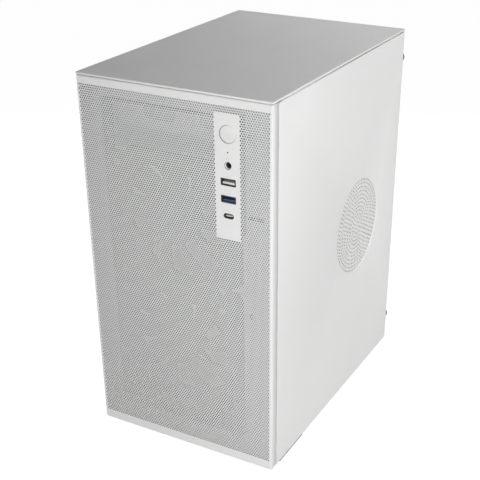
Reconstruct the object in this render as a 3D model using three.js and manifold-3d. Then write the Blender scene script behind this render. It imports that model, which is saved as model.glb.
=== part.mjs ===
// Compact desktop computer tower: painted steel case with a perforated front, and everything it holds to run.
// Millimetres, +Z up. The front faces -Y and +X is to the right of someone facing it.
// The origin is on the floor, in the middle of the whole outline. The pieces are laid out in case
// coordinates, where y = 0 is the front face and z = 0 is the underside of the body above its feet.
import * as THREE from "three";
import { mergeGeometries, mergeVertices } from "three/addons/utils/BufferGeometryUtils.js";
import Module from "manifold-3d";

// ---------------------------------------------------------------- driving dimensions
// Body
const CASE_WIDTH = 190.6;
const CASE_DEPTH = 284;
const CASE_HEIGHT = 355;
const FOOT_HEIGHT = 12;
const SHEET = 0.8; // painted steel of the covers
const FRAME_SHEET = 1; // steel of the chassis
const FIT = 0.3; // gap between two pieces that lie on each other
const SEAM = 0.9; // visible joint between the front panel and the side panels
const LIP = 1.8; // folded rim of the top cover
const LIP_GAP_FRONT = 0.5; // shadow line between that rim and the front panel
const LIP_GAP_SIDE = 1.2; // and between the rim and the side panels
const BEND_RADIUS = 1.6;
const TOP_RIM_WIDTH = 5;
const TOP_RAIL = { inner: 62, outer: 80, fromFront: 20, fromRear: 14 };
const CUT = 1; // how far a cutting shape runs past the face it cuts

// Front panel and its perforation
const FRONT_PANEL_DEPTH = 10;
const CLIP_FLANGE = 10;
const CLIP_RADIUS = 2.6;
const CLIP_LENGTH = 5;
const CLIP_NECK = 0.75; // shares of the clip's radius and length
const CLIP_POINT = 0.5;
const CLIP_HEAD_START = 0.55;
const CLIP_HEIGHTS = [40, 176, 312];
const GRILLE_PITCH = 27;
const GRILLE_HOLE_RADIUS = 9.4;
const BAND_TOP = 7; // plain band over the perforation
const BAND_BOTTOM = 9.3;
const BAND_SIDE = 2.6;
const STRIP_LEFT = 41.7; // plain strip that carries the button and sockets
const STRIP_RIGHT = 65.4;
const STRIP_BOTTOM = 230.7;
const STRIP_TOP = 340.1;

// Front button and sockets, on the strip
const PORTS_X = 53.8;
const BUTTON_Z = 322.7;
const BUTTON_RADIUS = 7.5;
const BUTTON_TRAVEL = 1.5;
const BUTTON_FACE = 0.15; // how far the button sits behind the strip
const BUTTON_EDGE = 0.5;
const BUTTON_CAP_DEPTH = 3.2;
const BUTTON_STEM_RADIUS = 3;
const BUTTON_SLEEVE = 1.6; // wall of the sleeve that guides it
const SMALL_SWITCH = { height: 4.5, half: 3, plunger: 1.7, plungerHeight: 1 }; // behind the button
const SOCKET_FACE = 0.1; // how far the sockets sit behind the strip
const LED_Z = 307.5;
const LED_RADIUS = 0.65;
const LED_BASE_RADIUS = 1.5;
const JACK_Z = 296.1;
const JACK_RADIUS = 3.35;
const JACK_HOUSING = { left: 3.3, right: 5, half: 3.2, bore: 1.8 };
const USB2_Z = 281.6;
const USB3_Z = 266.4;
const USBC_Z = 251.4;
const USB_A = { width: 13.9, height: 6, depth: 14, wall: 0.7, corner: 0.4 };
const USB_A_TONGUE = { inset: 1.5, low: 0.1, high: 1.9 };
const USB_C = { width: 9.4, height: 4.2, depth: 14, wall: 0.6 };
const USB_C_TONGUE = { width: 6.6, thickness: 0.7 };
const SOCKET_BACK = 1.5; // closed rear of each socket
const TONGUE_SETBACK = 1;
const IO_BOARD_THICKNESS = 1.6;
const IO_BOARD_INSET = 4.9; // from the left edge of the strip
const IO_BOARD_EDGE = { foot: 3, overButton: 8, corner: 1.5 };
const IO_PLATE_THICKNESS = 2;
const IO_PLATE_INSET = { left: 1.5, right: 0.5, ends: 2 };
const IO_WALL = 2;
const IO_POST = { radius: 2, inset: 3.4, fromFoot: 6, overLight: 4 };

// Side panels and their round vents
const SIDE_TOP_FLANGE = 9;
const SIDE_BOTTOM_FLANGE = 4.6;
const SIDE_REAR_FLANGE = 12;
const SIDE_HEM = 6;
const VENT_Y = 185;
const VENT_Z = 179.5;
const VENT_RADIUS = 49.5;
const VENT_DEPTH = 1;
const VENT_RINGS = 4;
const VENT_SLOTS = 4; // arcs in each ring
const VENT_SLOT_WIDTH = 5;
const VENT_BRIDGE = 6; // metal left between two arcs of a ring

// Feet and thumbscrews
const FRONT_FOOT = { length: 54, width: 20, inset: 5.5, y: 53 };
const REAR_FOOT = { length: 54, width: 20, inset: 15, y: 235 };
const FOOT_CORNER = 0.3; // share of the foot's width cut off at each corner
const FOOT_PAD = { height: 3.6, overlap: 0.6, inset: 1.5 };
const THUMBSCREW_HEAD_RADIUS = 6;
const THUMBSCREW_HEAD_DEPTH = 6.2;
const THUMBSCREW_SHANK_RADIUS = 1.75;
const THUMBSCREW_SHANK_LENGTH = 7;
const THUMBSCREW_INSET = 7; // from the side of the case
const THUMBSCREW_HEIGHTS = [28, 325];

// Chassis
const FLANGE = 15; // stiffening flanges of the chassis sheets
const FRONT_OPENING = { left: -80, right: 62, bottom: 20, top: 335, corner: 5 };
const FRONT_HOLES = { radius: 3.5, fromOpening: 8, heights: [154, 319] };
const FRONT_CABLE_SLOT = { from: 4, to: 20, bottom: 246, top: 251 }; // across: beside the air opening
const FLOOR_RIBS = { places: [-40, 0, 40], width: 6, height: 1.5, fromFront: 30, fromRear: 60 };
const ROOF_HOLES = { places: [-50, 0, 50], radius: 9, y: 34 };
const TRAY_X = 72; // face of the board tray that carries the standoffs
const TRAY_FRONT = 62;
const TRAY_FLANGE = 9; // its return edges, clear of the side panels' screws
const TRAY_CUT = { foot: 8, frontLow: 30, frontHigh: 60 }; // where its return edges stop short
const STANDOFF = 6.5;
const STANDOFF_RADIUS = 3.2;
const PROCESSOR_WINDOW = { depth: 100, height: 96 };
const CABLE_HOLE = { depth: 24, height: 34 };
const CABLE_HOLE_CORNER = 0.3; // share of a hole's smaller side
const ENTRY_HOLE = { y: 112, z: 271 };
const OUTLET_HOLE_Y = 250;
const PANEL_LEAD_HOLE_Z = 60;

// Fans
const FRONT_FAN = { size: 120, depth: 25, hub: 20, blades: 9 };
const FRONT_FAN_HEIGHTS = [98, 223];
const REAR_FAN = { size: 92, depth: 25, hub: 17, blades: 7 };
const REAR_FAN_X = -38;
const REAR_FAN_Z = 200;
const REAR_GRILLE = { radius: 7.6, pitch: 17.6 };
const FAN_WALL = 1.6;
const FAN_TIP_GAP = 1.2; // between blades and duct. The blades' roots run as far into the hub
const AXLE_RADIUS = 2;
const FAN_CORNER = 0.05; // shares of the fan's size
const FAN_SPOKE_WIDTH = 0.035;
const FAN_MOTOR_DEPTH = 0.12; // shares of the fan's depth
const FAN_AXLE_DEPTH = 0.7;
const FAN_HUB_TOP = 0.92;
const BLADE = {
  solidity: 0.75, // share of the turn that the blades cover
  rise: 0.5, // shares of the fan's depth
  thickness: 0.07,
  level: 0.52,
  narrowing: 0.15, // shares lost from root to tip
  flattening: 0.35,
  sweep: 0.3, // radians from root to tip
};
const FAN_BRACKET_EDGE = { left: 5, overlap: 5, inlet: 2.5 };
const FAN_BRACKET_WINDOW = { left: 6, right: 8, below: 4, above: 4 }; // insets, and gap above the fan

// Motherboard and what stands on it
const BOARD = { height: 244, depth: 200, thickness: 1.6, bottom: 10 };
const BOARD_HOLE_RADIUS = 1.9;
const BOARD_HOLE_INSET = 8;
const BOARD_HOLE_MIDDLE = 122;
const IO_APERTURE = { width: 44.45, height: 158.75, bottom: 94 };
const SLOT_PITCH = 20.32;
const SLOT_COUNT = 4;
const IO_SHIELD = { thickness: 0.6, setback: 0.1, rim: 3 };
const SLOT = { left: -44, right: 60, blankHalf: 6.5, slit: 1, bridge: 4, firstBelowAperture: 14 };
const SLOT_AIR = { starts: [12, 58], length: 36, height: 3 };
const ACCESS_PLATE = { left: -62, right: -46, beyondSlots: 9, border: 3, holeRadius: 1.9, holeUp: 30 };
// Rear sockets stand on the board and come through the shield. Heights are above the opening's foot.
const REAR_SOCKETS = {
  audio: { low: 6, high: 20, reach: 36, bores: [7, 18.5, 30], boreRadius: 1.8 },
  usb: {
    low: 62,
    high: 96,
    reach: 16,
    columns: [8.5, 25.5],
    levels: [4.2, 11.8],
    mouth: { width: 5.2, height: 13.2 },
  },
  video: { low: 108, high: 150, reach: 14, places: [11, 31], mouth: { width: 6, height: 16 } },
};
const REAR_SOCKET_LENGTH = 18; // forward of the board's rear edge
const REAR_SOCKET_HOLLOW = 12;
const COOLER = { radius: 45, core: 16, fins: 22, finWidth: 1.8, sweep: 0.22, height: 30, pinSpacing: 75 };
const COOLER_FAN = { size: 92, depth: 22, hub: 16, blades: 7 };
const COOLER_SPOKE = { width: 3.4, depth: 2.6 };
const COOLER_LEG = { arm: 9, depth: 4, tip: 3.6, top: 2.6, overlap: 5 };
const SOCKET = { size: 44, height: 6.5, frame: 4, lid: 30 };
const MEMORY = { length: 133.35, height: 31, thickness: 3.4, card: 1.3 };
const MEMORY_ROW = { pitch: 10.5, fromFront: 24, fromTop: 12 };
const MEMORY_SLOT = { height: 8, width: 6.6, ends: 5, latchHeight: 17, latchWidth: 5.2, latchGap: 0.8 };
const CARD_GROOVE = { width: 2, floor: 2.5 };
const CARD_NOTCH = { from: 60, to: 62.5, depth: 3 };
const CARD_SLOT = { length: 89, height: 11, width: 7.4, fromRear: 42 };
const CARD_LATCH = { length: 7, height: 14, width: 6 };
const CHIPSET = { size: 38, fromFront: 50, fromFoot: 34, base: 3, height: 11, fins: 7, finWidth: 2 };
const MAIN_PLUG = { fromFront: 8, width: 10, low: 150, high: 202, reach: 22, wireRadius: 5 };
const PROCESSOR_PLUG = { width: 18, low: 14, high: 4, reach: 18, wireRadius: 3.2 }; // below the board's top
const PANEL_PLUG = { fromFront: 12, fromFoot: 12, width: 8, height: 18, reach: 12, wireRadius: 2.6 };

// Power supply and drive
const SUPPLY = { width: 150, height: 86, depth: 138, wall: 1 };
const SUPPLY_BORDER = 3.5; // steel of the rear sheet round the power supply's opening
const SUPPLY_FAN = { size: 120, depth: 22, hub: 20, blades: 9, forward: 2, opening: 57 };
const SUPPLY_GUARD = { wire: 0.9, radius: 59, rings: [0.32, 0.66, 1], overhang: 7 };
const SUPPLY_VENTS = { pitch: 22, radius: 9.24, left: 20, up: 24, rows: 3, columns: 4 };
const INLET = { width: 28, height: 24, depth: 18, wall: 2.2, cheek: 3, chamfer: 4.5 };
const INLET_PLACE = { fromSide: 28, fromTop: 20 };
const INLET_PINS = [
  [-7, -2.2],
  [7, -2.2],
  [0, 2.6],
];
const INLET_PIN = { width: 2, height: 4, setback: 3 };
const SWITCH = { belowInlet: 34, width: 10, height: 16, play: 0.8, tilt: 8, pivot: 2 };
const ROCKER = { valley: 2.4, crest: 3.8, shoulder: 2.6, waist: -1.5, foot: -5, footHalf: 2.5, edge: 0.6 };
const SUPPLY_EXIT = { x: 44, up: 16, width: 44, height: 20, corner: 5 };
const HARD_DRIVE = { length: 147, width: 101.6, height: 26.1, lid: 1.5, fromTray: 2 };
const DRIVE_SOCKET = { depth: 7, from: 12, to: 60, height: 6 };
const CAGE = { wall: 1, gap: 1, headroom: 21.8, shelf: 14, left: 4, right: 6 };
const CAGE_WINDOWS = { shares: [0.3, 0.7], width: 34, foot: 8, top: 12, corner: 5 };

// ---------------------------------------------------------------- sizes that follow
const HALF_WIDTH = CASE_WIDTH / 2;
const OVERALL_DEPTH = CASE_DEPTH + FIT + THUMBSCREW_HEAD_DEPTH;
const FRONT_PANEL_TOP = CASE_HEIGHT - LIP - LIP_GAP_FRONT;
const SIDE_TOP = CASE_HEIGHT - LIP - LIP_GAP_SIDE;
const SIDE_FRONT = FRONT_PANEL_DEPTH + SEAM;
const FRAME_HALF = HALF_WIDTH - 2 * SHEET - FIT; // outside of the chassis, inside the panels' hems
const FRAME_BOTTOM = SHEET + FIT;
const FRAME_TOP = SIDE_TOP - SHEET - FIT;
const FRAME_FRONT = FRONT_PANEL_DEPTH + FIT;
const FRAME_REAR = CASE_DEPTH - SHEET - FIT;
const INNER_BOTTOM = FRAME_BOTTOM + FRAME_SHEET;
const INNER_TOP = FRAME_TOP - FRAME_SHEET;
const INNER_FRONT = FRAME_FRONT + FRAME_SHEET;
const INNER_REAR = FRAME_REAR - FRAME_SHEET;
const INNER_HALF = FRAME_HALF - FRAME_SHEET;
const BOARD_BACK = TRAY_X - STANDOFF;
const BOARD_FACE = BOARD_BACK - BOARD.thickness;
const BOARD_REAR = INNER_REAR - 2;
const BOARD_FRONT = BOARD_REAR - BOARD.depth;
const BOARD_TOP = BOARD.bottom + BOARD.height;
const SUPPLY_RIGHT = TRAY_X - FIT;
const SUPPLY_LEFT = SUPPLY_RIGHT - SUPPLY.width;
const SUPPLY_REAR = INNER_REAR - FIT;
const SUPPLY_FRONT = SUPPLY_REAR - SUPPLY.depth;
const SUPPLY_TOP = INNER_TOP - FIT;
const SUPPLY_BOTTOM = SUPPLY_TOP - SUPPLY.height;
const SUPPLY_X = (SUPPLY_LEFT + SUPPLY_RIGHT) / 2;
const IO_BOARD_FRONT = USB_A.depth + SHEET + 2 * FIT;
const IO_BOARD_LEFT = STRIP_LEFT + IO_BOARD_INSET;
const IO_BOARD_RIGHT = STRIP_RIGHT - 1;
const FRONT_FAN_X = IO_BOARD_LEFT - 2 * FIT - FRONT_FAN.size / 2;
const CLIP_X = HALF_WIDTH - SHEET - CLIP_FLANGE / 2;
const THUMBSCREW_X = HALF_WIDTH - THUMBSCREW_INSET;
const IO_PLATE_FRONT = SHEET + FIT;
const IO_PLATE_REAR = IO_PLATE_FRONT + IO_PLATE_THICKNESS;
const SWITCH_FRONT = IO_BOARD_FRONT - FIT - SMALL_SWITCH.height;
const FAN_BRACKET_FRONT = INNER_FRONT + FIT;
const FAN_BRACKET_REAR = FAN_BRACKET_FRONT + FRAME_SHEET;
const FRONT_FAN_BACK = FAN_BRACKET_REAR + FIT + FRONT_FAN.depth;
const ON_BOARD = BOARD_FACE - FIT; // foot of everything that stands on the board
const SLOT_FIRST = IO_APERTURE.bottom - SLOT.firstBelowAperture;
const ACCESS_LOW = SLOT_FIRST - (SLOT_COUNT - 1) * SLOT_PITCH - ACCESS_PLATE.beyondSlots;
const ACCESS_HIGH = SLOT_FIRST + ACCESS_PLATE.beyondSlots;
const APERTURE_RIGHT = BOARD_BACK + 1;
const APERTURE_LEFT = APERTURE_RIGHT - IO_APERTURE.width;
const APERTURE_TOP = IO_APERTURE.bottom + IO_APERTURE.height;
const SOCKET_OUTER = INNER_REAR + FRAME_SHEET * 0.8;
const STANDOFF_HEIGHTS = [
  BOARD.bottom + BOARD_HOLE_INSET,
  BOARD.bottom + BOARD_HOLE_MIDDLE,
  BOARD_TOP - BOARD_HOLE_INSET,
];
const STANDOFF_PLACES = [BOARD_REAR - BOARD_HOLE_INSET, BOARD_FRONT + BOARD_HOLE_INSET].flatMap((y) =>
  STANDOFF_HEIGHTS.map((z) => [y, z]),
);
const CABLE_HOLES = [
  { y: ENTRY_HOLE.y, z: ENTRY_HOLE.z, ...CABLE_HOLE },
  {
    y: OUTLET_HOLE_Y,
    z: (BOARD_TOP + SUPPLY_BOTTOM) / 2,
    depth: CABLE_HOLE.depth,
    height: SUPPLY_BOTTOM - BOARD_TOP - 1,
  },
  { y: BOARD_FRONT - 3, z: PANEL_LEAD_HOLE_Z, ...CABLE_HOLE },
];
const MEMORY_LOW = BOARD_TOP - MEMORY_ROW.fromTop - MEMORY.length;
const MEMORY_HIGH = MEMORY_LOW + MEMORY.length;
const MEMORY_PLACES = [0, 1].map((index) => BOARD_FRONT + MEMORY_ROW.fromFront + index * MEMORY_ROW.pitch);
const INLET_X = SUPPLY_RIGHT - INLET_PLACE.fromSide;
const INLET_Z = SUPPLY_TOP - INLET_PLACE.fromTop;
const SWITCH_Z = INLET_Z - SWITCH.belowInlet;
const SUPPLY_FAN_Y = SUPPLY_FRONT + SUPPLY.depth / 2 - SUPPLY_FAN.forward;
const SUPPLY_EXIT_Z = SUPPLY_BOTTOM + SUPPLY_EXIT.up;
const SUPPLY_OUT = SUPPLY_FRONT - FIT;
const CAGE_REAR = SUPPLY_FRONT - CAGE.gap;
const DRIVE_REAR = CAGE_REAR - CAGE.wall - FIT;
const DRIVE_FRONT = DRIVE_REAR - HARD_DRIVE.width;
const CAGE_FRONT = DRIVE_FRONT - FIT - CAGE.wall;
const DRIVE_LEFT = TRAY_X - HARD_DRIVE.fromTray - HARD_DRIVE.length;
const DRIVE_LOW = INNER_TOP - CAGE.headroom - HARD_DRIVE.height;

// ---------------------------------------------------------------- solids
const wasm = await Module();
wasm.setup();

const AXIS_FRAMES = {
  x: new THREE.Matrix4().makeBasis(
    new THREE.Vector3(0, 1, 0),
    new THREE.Vector3(0, 0, 1),
    new THREE.Vector3(1, 0, 0),
  ),
  y: new THREE.Matrix4().makeBasis(
    new THREE.Vector3(1, 0, 0),
    new THREE.Vector3(0, 0, 1),
    new THREE.Vector3(0, -1, 0),
  ),
  z: new THREE.Matrix4(),
};

// A closed three.js geometry as a solid that can be joined and cut.
function solid(geometry) {
  const bare = geometry.clone();
  bare.deleteAttribute("normal");
  bare.deleteAttribute("uv");
  const merged = mergeVertices(bare, 1e-4);
  return new wasm.Manifold(
    new wasm.Mesh({
      numProp: 3,
      vertProperties: new Float32Array(merged.attributes.position.array),
      triVerts: new Uint32Array(merged.index.array),
    }),
  );
}

function geometryOf(manifold) {
  const made = manifold.getMesh();
  const geometry = new THREE.BufferGeometry();
  geometry.setAttribute("position", new THREE.BufferAttribute(made.vertProperties, 3));
  geometry.setIndex(new THREE.BufferAttribute(made.triVerts, 1));
  const flat = geometry.toNonIndexed();
  flat.computeVertexNormals();
  return flat;
}

const join = (...solids) => solids.flat().reduce((whole, next) => whole.add(next));
const cut = (whole, ...tools) => tools.flat().reduce((rest, tool) => rest.subtract(tool), whole);

// Box between two corners.
function block(x0, x1, y0, y1, z0, z1) {
  const box = new THREE.BoxGeometry(x1 - x0, y1 - y0, z1 - z0);
  box.translate((x0 + x1) / 2, (y0 + y1) / 2, (z0 + z1) / 2);
  return solid(box);
}

// Flat outline pushed along an axis. On x the outline is drawn in y and z, on y in x and z, on z in x and y.
function plateGeometry(axis, from, to, outline, curveSegments = 6) {
  const plate = new THREE.ExtrudeGeometry(outline, {
    depth: to - from,
    bevelEnabled: false,
    curveSegments,
  });
  plate.applyMatrix4(AXIS_FRAMES[axis]);
  const start = { x: [from, 0, 0], y: [0, to, 0], z: [0, 0, from] }[axis];
  return plate.translate(...start);
}

const plate = (...sizes) => solid(plateGeometry(...sizes));

// Round bar along an axis, with its centre at the other two coordinates, in x, y, z order.
function rodGeometry(axis, radius, from, to, a, b, sides = 16, farRadius = radius) {
  const rod = new THREE.CylinderGeometry(farRadius, radius, to - from, sides);
  rod.rotateX(Math.PI / 2);
  rod.translate(0, 0, (to - from) / 2);
  const places = { x: [from, a, b], y: [a, from, b], z: [a, b, from] };
  if (axis === "x") rod.rotateY(Math.PI / 2);
  if (axis === "y") rod.rotateX(-Math.PI / 2);
  return rod.translate(...places[axis]);
}

const rod = (...sizes) => solid(rodGeometry(...sizes));

// Profile of [radius, height] points turned about +Z.
function turned(profile, sides) {
  const points = profile.map(([radius, height]) => new THREE.Vector2(radius, height));
  const lathe = new THREE.LatheGeometry(points, sides);
  lathe.rotateX(Math.PI / 2);
  return solid(lathe);
}

function polygon(points) {
  return new THREE.Shape(points.map(([x, y]) => new THREE.Vector2(x, y)));
}

function chamferedRectangle(x0, x1, y0, y1, corner) {
  return polygon([
    [x0 + corner, y0],
    [x1 - corner, y0],
    [x1, y0 + corner],
    [x1, y1 - corner],
    [x1 - corner, y1],
    [x0 + corner, y1],
    [x0, y1 - corner],
    [x0, y0 + corner],
  ]);
}

function roundedRectangle(x0, x1, y0, y1, radius) {
  const shape = new THREE.Shape();
  shape.moveTo(x0 + radius, y0);
  shape.lineTo(x1 - radius, y0);
  shape.absarc(x1 - radius, y0 + radius, radius, -Math.PI / 2, 0);
  shape.lineTo(x1, y1 - radius);
  shape.absarc(x1 - radius, y1 - radius, radius, 0, Math.PI / 2);
  shape.lineTo(x0 + radius, y1);
  shape.absarc(x0 + radius, y1 - radius, radius, Math.PI / 2, Math.PI);
  shape.lineTo(x0, y0 + radius);
  shape.absarc(x0 + radius, y0 + radius, radius, Math.PI, 1.5 * Math.PI);
  return shape;
}

// ---------------------------------------------------------------- assembly
const tower = new THREE.Group();
const body = new THREE.Group(); // case coordinates
body.position.set(0, -OVERALL_DEPTH / 2, FOOT_HEIGHT);
tower.add(body);

function finish(color, roughness, metalness = 0) {
  return new THREE.MeshStandardMaterial({ color, roughness, metalness });
}

const FINISH = {
  whitePaint: () => finish(0xe4e4e3, 0.45, 0.1),
  blackPlastic: () => finish(0x17181a, 0.5),
  blackRubber: () => finish(0x1b1b1c, 0.85),
  blackSteel: () => finish(0x1d1e20, 0.45, 0.4),
  bareSteel: () => finish(0xb9bcc0, 0.32, 0.9),
  aluminium: () => finish(0xc4c7ca, 0.35, 0.9),
  nickel: () => finish(0xc9c5bd, 0.25, 1),
  boardLacquer: () => finish(0x14171a, 0.4),
  whitePlastic: () => finish(0xe9e9e7, 0.4),
  bluePlastic: () => finish(0x2a4a86, 0.45),
  clearPlastic: () => finish(0xf2f4f6, 0.2),
  cableSleeve: () => finish(0x141414, 0.7),
};

function piece(name, manifold, material, parent = body) {
  const mesh = new THREE.Mesh(geometryOf(manifold), material());
  mesh.name = name;
  parent.add(mesh);
  return mesh;
}

// ---------------------------------------------------------------- outer covers
// Plain cover with a folded rim that overhangs the panels, and two pressed rails that it stands on.
function topCover() {
  const skin = block(-HALF_WIDTH, HALF_WIDTH, 0, CASE_DEPTH, CASE_HEIGHT - SHEET, CASE_HEIGHT);
  const rim = cut(
    plate(
      "z",
      CASE_HEIGHT - LIP,
      CASE_HEIGHT - SHEET / 2,
      roundedRectangle(-HALF_WIDTH, HALF_WIDTH, 0, CASE_DEPTH, BEND_RADIUS),
      2,
    ),
    block(
      -HALF_WIDTH + TOP_RIM_WIDTH,
      HALF_WIDTH - TOP_RIM_WIDTH,
      TOP_RIM_WIDTH,
      CASE_DEPTH - TOP_RIM_WIDTH,
      CASE_HEIGHT - 2 * LIP,
      CASE_HEIGHT - SHEET / 2 + CUT,
    ),
  );
  const corners = plate(
    "z",
    CASE_HEIGHT - 2 * LIP,
    CASE_HEIGHT + CUT,
    roundedRectangle(-HALF_WIDTH, HALF_WIDTH, 0, CASE_DEPTH, BEND_RADIUS),
    2,
  );
  const { inner, outer, fromFront, fromRear } = TOP_RAIL;
  const rails = [-1, 1].map((side) => {
    const edges = [side * inner, side * outer].sort((a, b) => a - b);
    return block(...edges, fromFront, CASE_DEPTH - fromRear, FRAME_TOP + FIT, CASE_HEIGHT - SHEET / 2);
  });
  return join(skin.intersect(corners), rim, rails);
}

// Places of a staggered perforation, row by row, that keep clear of its frame and of the plain strip.
function grillePlaces() {
  const rowPitch = GRILLE_PITCH * Math.sin(Math.PI / 3);
  const left = -HALF_WIDTH + BAND_SIDE + GRILLE_HOLE_RADIUS;
  const right = HALF_WIDTH - BAND_SIDE - GRILLE_HOLE_RADIUS;
  const bottom = BAND_BOTTOM + GRILLE_HOLE_RADIUS;
  const top = FRONT_PANEL_TOP - BAND_TOP - GRILLE_HOLE_RADIUS;
  const rows = Math.floor((top - bottom) / rowPitch);
  const columns = Math.floor((right - left) / GRILLE_PITCH);
  const startX = (left + right - columns * GRILLE_PITCH) / 2;
  const startZ = (bottom + top - rows * rowPitch) / 2;
  const places = [];
  for (let row = 0; row <= rows; row += 1) {
    const shifted = row % 2;
    for (let column = 0; column <= columns - shifted; column += 1) {
      const x = startX + (column + shifted / 2) * GRILLE_PITCH;
      const z = startZ + row * rowPitch;
      const inStrip =
        x > STRIP_LEFT - GRILLE_HOLE_RADIUS &&
        x < STRIP_RIGHT + GRILLE_HOLE_RADIUS &&
        z > STRIP_BOTTOM - GRILLE_HOLE_RADIUS &&
        z < STRIP_TOP + GRILLE_HOLE_RADIUS;
      if (!inStrip) places.push([x, z]);
    }
  }
  return places;
}

// Level section of the front panel: a shallow channel with bent corners.
function channelOutline(halfWidth, depth, sheet, radius) {
  const inner = radius - sheet;
  const shape = new THREE.Shape();
  shape.moveTo(-halfWidth, depth);
  shape.lineTo(-halfWidth, radius);
  shape.absarc(-halfWidth + radius, radius, radius, Math.PI, 1.5 * Math.PI);
  shape.lineTo(halfWidth - radius, 0);
  shape.absarc(halfWidth - radius, radius, radius, 1.5 * Math.PI, 2 * Math.PI);
  shape.lineTo(halfWidth, depth);
  shape.lineTo(halfWidth - sheet, depth);
  shape.lineTo(halfWidth - sheet, radius);
  shape.absarc(halfWidth - radius, radius, inner, 0, -Math.PI / 2, true);
  shape.lineTo(-halfWidth + radius, sheet);
  shape.absarc(-halfWidth + radius, radius, inner, 1.5 * Math.PI, Math.PI, true);
  shape.lineTo(-halfWidth + sheet, depth);
  return shape;
}

function frontPanel() {
  const shell = plate(
    "z",
    0,
    FRONT_PANEL_TOP,
    channelOutline(HALF_WIDTH, FRONT_PANEL_DEPTH, SHEET, BEND_RADIUS),
    3,
  );
  const inner = HALF_WIDTH - SHEET / 2;
  const ends = [
    [0, SHEET],
    [FRONT_PANEL_TOP - SHEET, FRONT_PANEL_TOP],
  ].map(([low, high]) => block(-inner, inner, SHEET / 2, FRONT_PANEL_DEPTH, low, high));
  const back = FRONT_PANEL_DEPTH - SHEET;
  const returns = [
    block(-inner, -inner + CLIP_FLANGE, back, FRONT_PANEL_DEPTH, SHEET / 2, FRONT_PANEL_TOP - SHEET / 2),
    block(inner - CLIP_FLANGE, inner, back, FRONT_PANEL_DEPTH, SHEET / 2, FRONT_PANEL_TOP - SHEET / 2),
  ];
  const clips = [];
  for (const side of [-1, 1]) {
    for (const height of CLIP_HEIGHTS) clips.push(clip(side * CLIP_X, height));
  }
  const holes = mergeGeometries(
    grillePlaces().map(([x, z]) => rodGeometry("y", GRILLE_HOLE_RADIUS, -CUT, SHEET + CUT, x, z, 6)),
  );
  const sockets = [
    rod("y", BUTTON_RADIUS + FIT, -CUT, SHEET + CUT, PORTS_X, BUTTON_Z, 24),
    rod("y", LED_RADIUS + FIT, -CUT, SHEET + CUT, PORTS_X, LED_Z, 8),
    rod("y", JACK_RADIUS + FIT, -CUT, SHEET + CUT, PORTS_X, JACK_Z, 16),
    ...[USB2_Z, USB3_Z].map((z) => socketOpening(USB_A, z, USB_A.corner)),
    socketOpening(USB_C, USBC_Z, USB_C.height / 2),
  ];
  return cut(join(shell, ends, returns, clips), solid(holes), sockets);
}

// Push-in stud behind the front panel: a neck and a swelling head that snaps through the chassis.
function clip(x, z) {
  const base = FRONT_PANEL_DEPTH - SHEET / 2;
  const end = base + CLIP_LENGTH;
  const neck = rod("y", CLIP_RADIUS * CLIP_NECK, base, end, x, z, 6);
  const headStart = base + CLIP_LENGTH * CLIP_HEAD_START;
  const head = rod("y", CLIP_RADIUS, headStart, end, x, z, 6, CLIP_RADIUS * CLIP_POINT);
  return join(neck, head);
}

function socketOpening(size, z, radius) {
  const halfWidth = size.width / 2 + FIT;
  const halfHeight = size.height / 2 + FIT;
  return plate(
    "y",
    -CUT,
    SHEET + CUT,
    roundedRectangle(PORTS_X - halfWidth, PORTS_X + halfWidth, z - halfHeight, z + halfHeight, radius),
    3,
  );
}

// Side cover of the right-hand side: a flat skin, flanges along its top, foot and rear, a folded front
// hem, and a round vent pressed in and cut through in rings of arcs. The left cover is its mirror image.
function sidePanel() {
  const inside = HALF_WIDTH - SHEET;
  const skin = block(inside, HALF_WIDTH, SIDE_FRONT, CASE_DEPTH, 0, SIDE_TOP);
  const flanges = [
    block(HALF_WIDTH - SIDE_TOP_FLANGE, HALF_WIDTH, SIDE_FRONT, CASE_DEPTH, SIDE_TOP - SHEET, SIDE_TOP),
    block(HALF_WIDTH - SIDE_BOTTOM_FLANGE, HALF_WIDTH, SIDE_FRONT, CASE_DEPTH, 0, SHEET),
    block(HALF_WIDTH - SIDE_REAR_FLANGE, HALF_WIDTH, CASE_DEPTH - SHEET, CASE_DEPTH, 0, SIDE_TOP),
    block(inside - SHEET, HALF_WIDTH, SIDE_FRONT, SIDE_FRONT + SIDE_HEM, 0, SIDE_TOP),
  ];
  const floor = HALF_WIDTH - VENT_DEPTH;
  const dish = rod("x", VENT_RADIUS + SHEET, floor - SHEET, HALF_WIDTH - SHEET / 2, VENT_Y, VENT_Z, 32);
  const pressing = rod(
    "x",
    VENT_RADIUS - VENT_DEPTH,
    floor,
    HALF_WIDTH + VENT_DEPTH,
    VENT_Y,
    VENT_Z,
    32,
    VENT_RADIUS + VENT_DEPTH,
  );
  const slots = [];
  const ringPitch = (VENT_RADIUS - VENT_DEPTH - VENT_SLOT_WIDTH) / VENT_RINGS;
  for (let ring = 1; ring <= VENT_RINGS; ring += 1) {
    for (let index = 0; index < VENT_SLOTS; index += 1) {
      const middle = (2 * Math.PI * (index + (ring % 2) / 2)) / VENT_SLOTS;
      const outline = arcSlot(VENT_Y, VENT_Z, ring * ringPitch, VENT_SLOT_WIDTH, middle);
      slots.push(plateGeometry("x", floor - SHEET - CUT, HALF_WIDTH + CUT, outline, 2));
    }
  }
  const screwHoles = THUMBSCREW_HEIGHTS.map((z) =>
    rod("y", THUMBSCREW_SHANK_RADIUS + FIT, CASE_DEPTH - SHEET - CUT, CASE_DEPTH + CUT, THUMBSCREW_X, z, 8),
  );
  return cut(join(skin, flanges, dish), pressing, solid(mergeGeometries(slots)), screwHoles);
}

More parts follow.
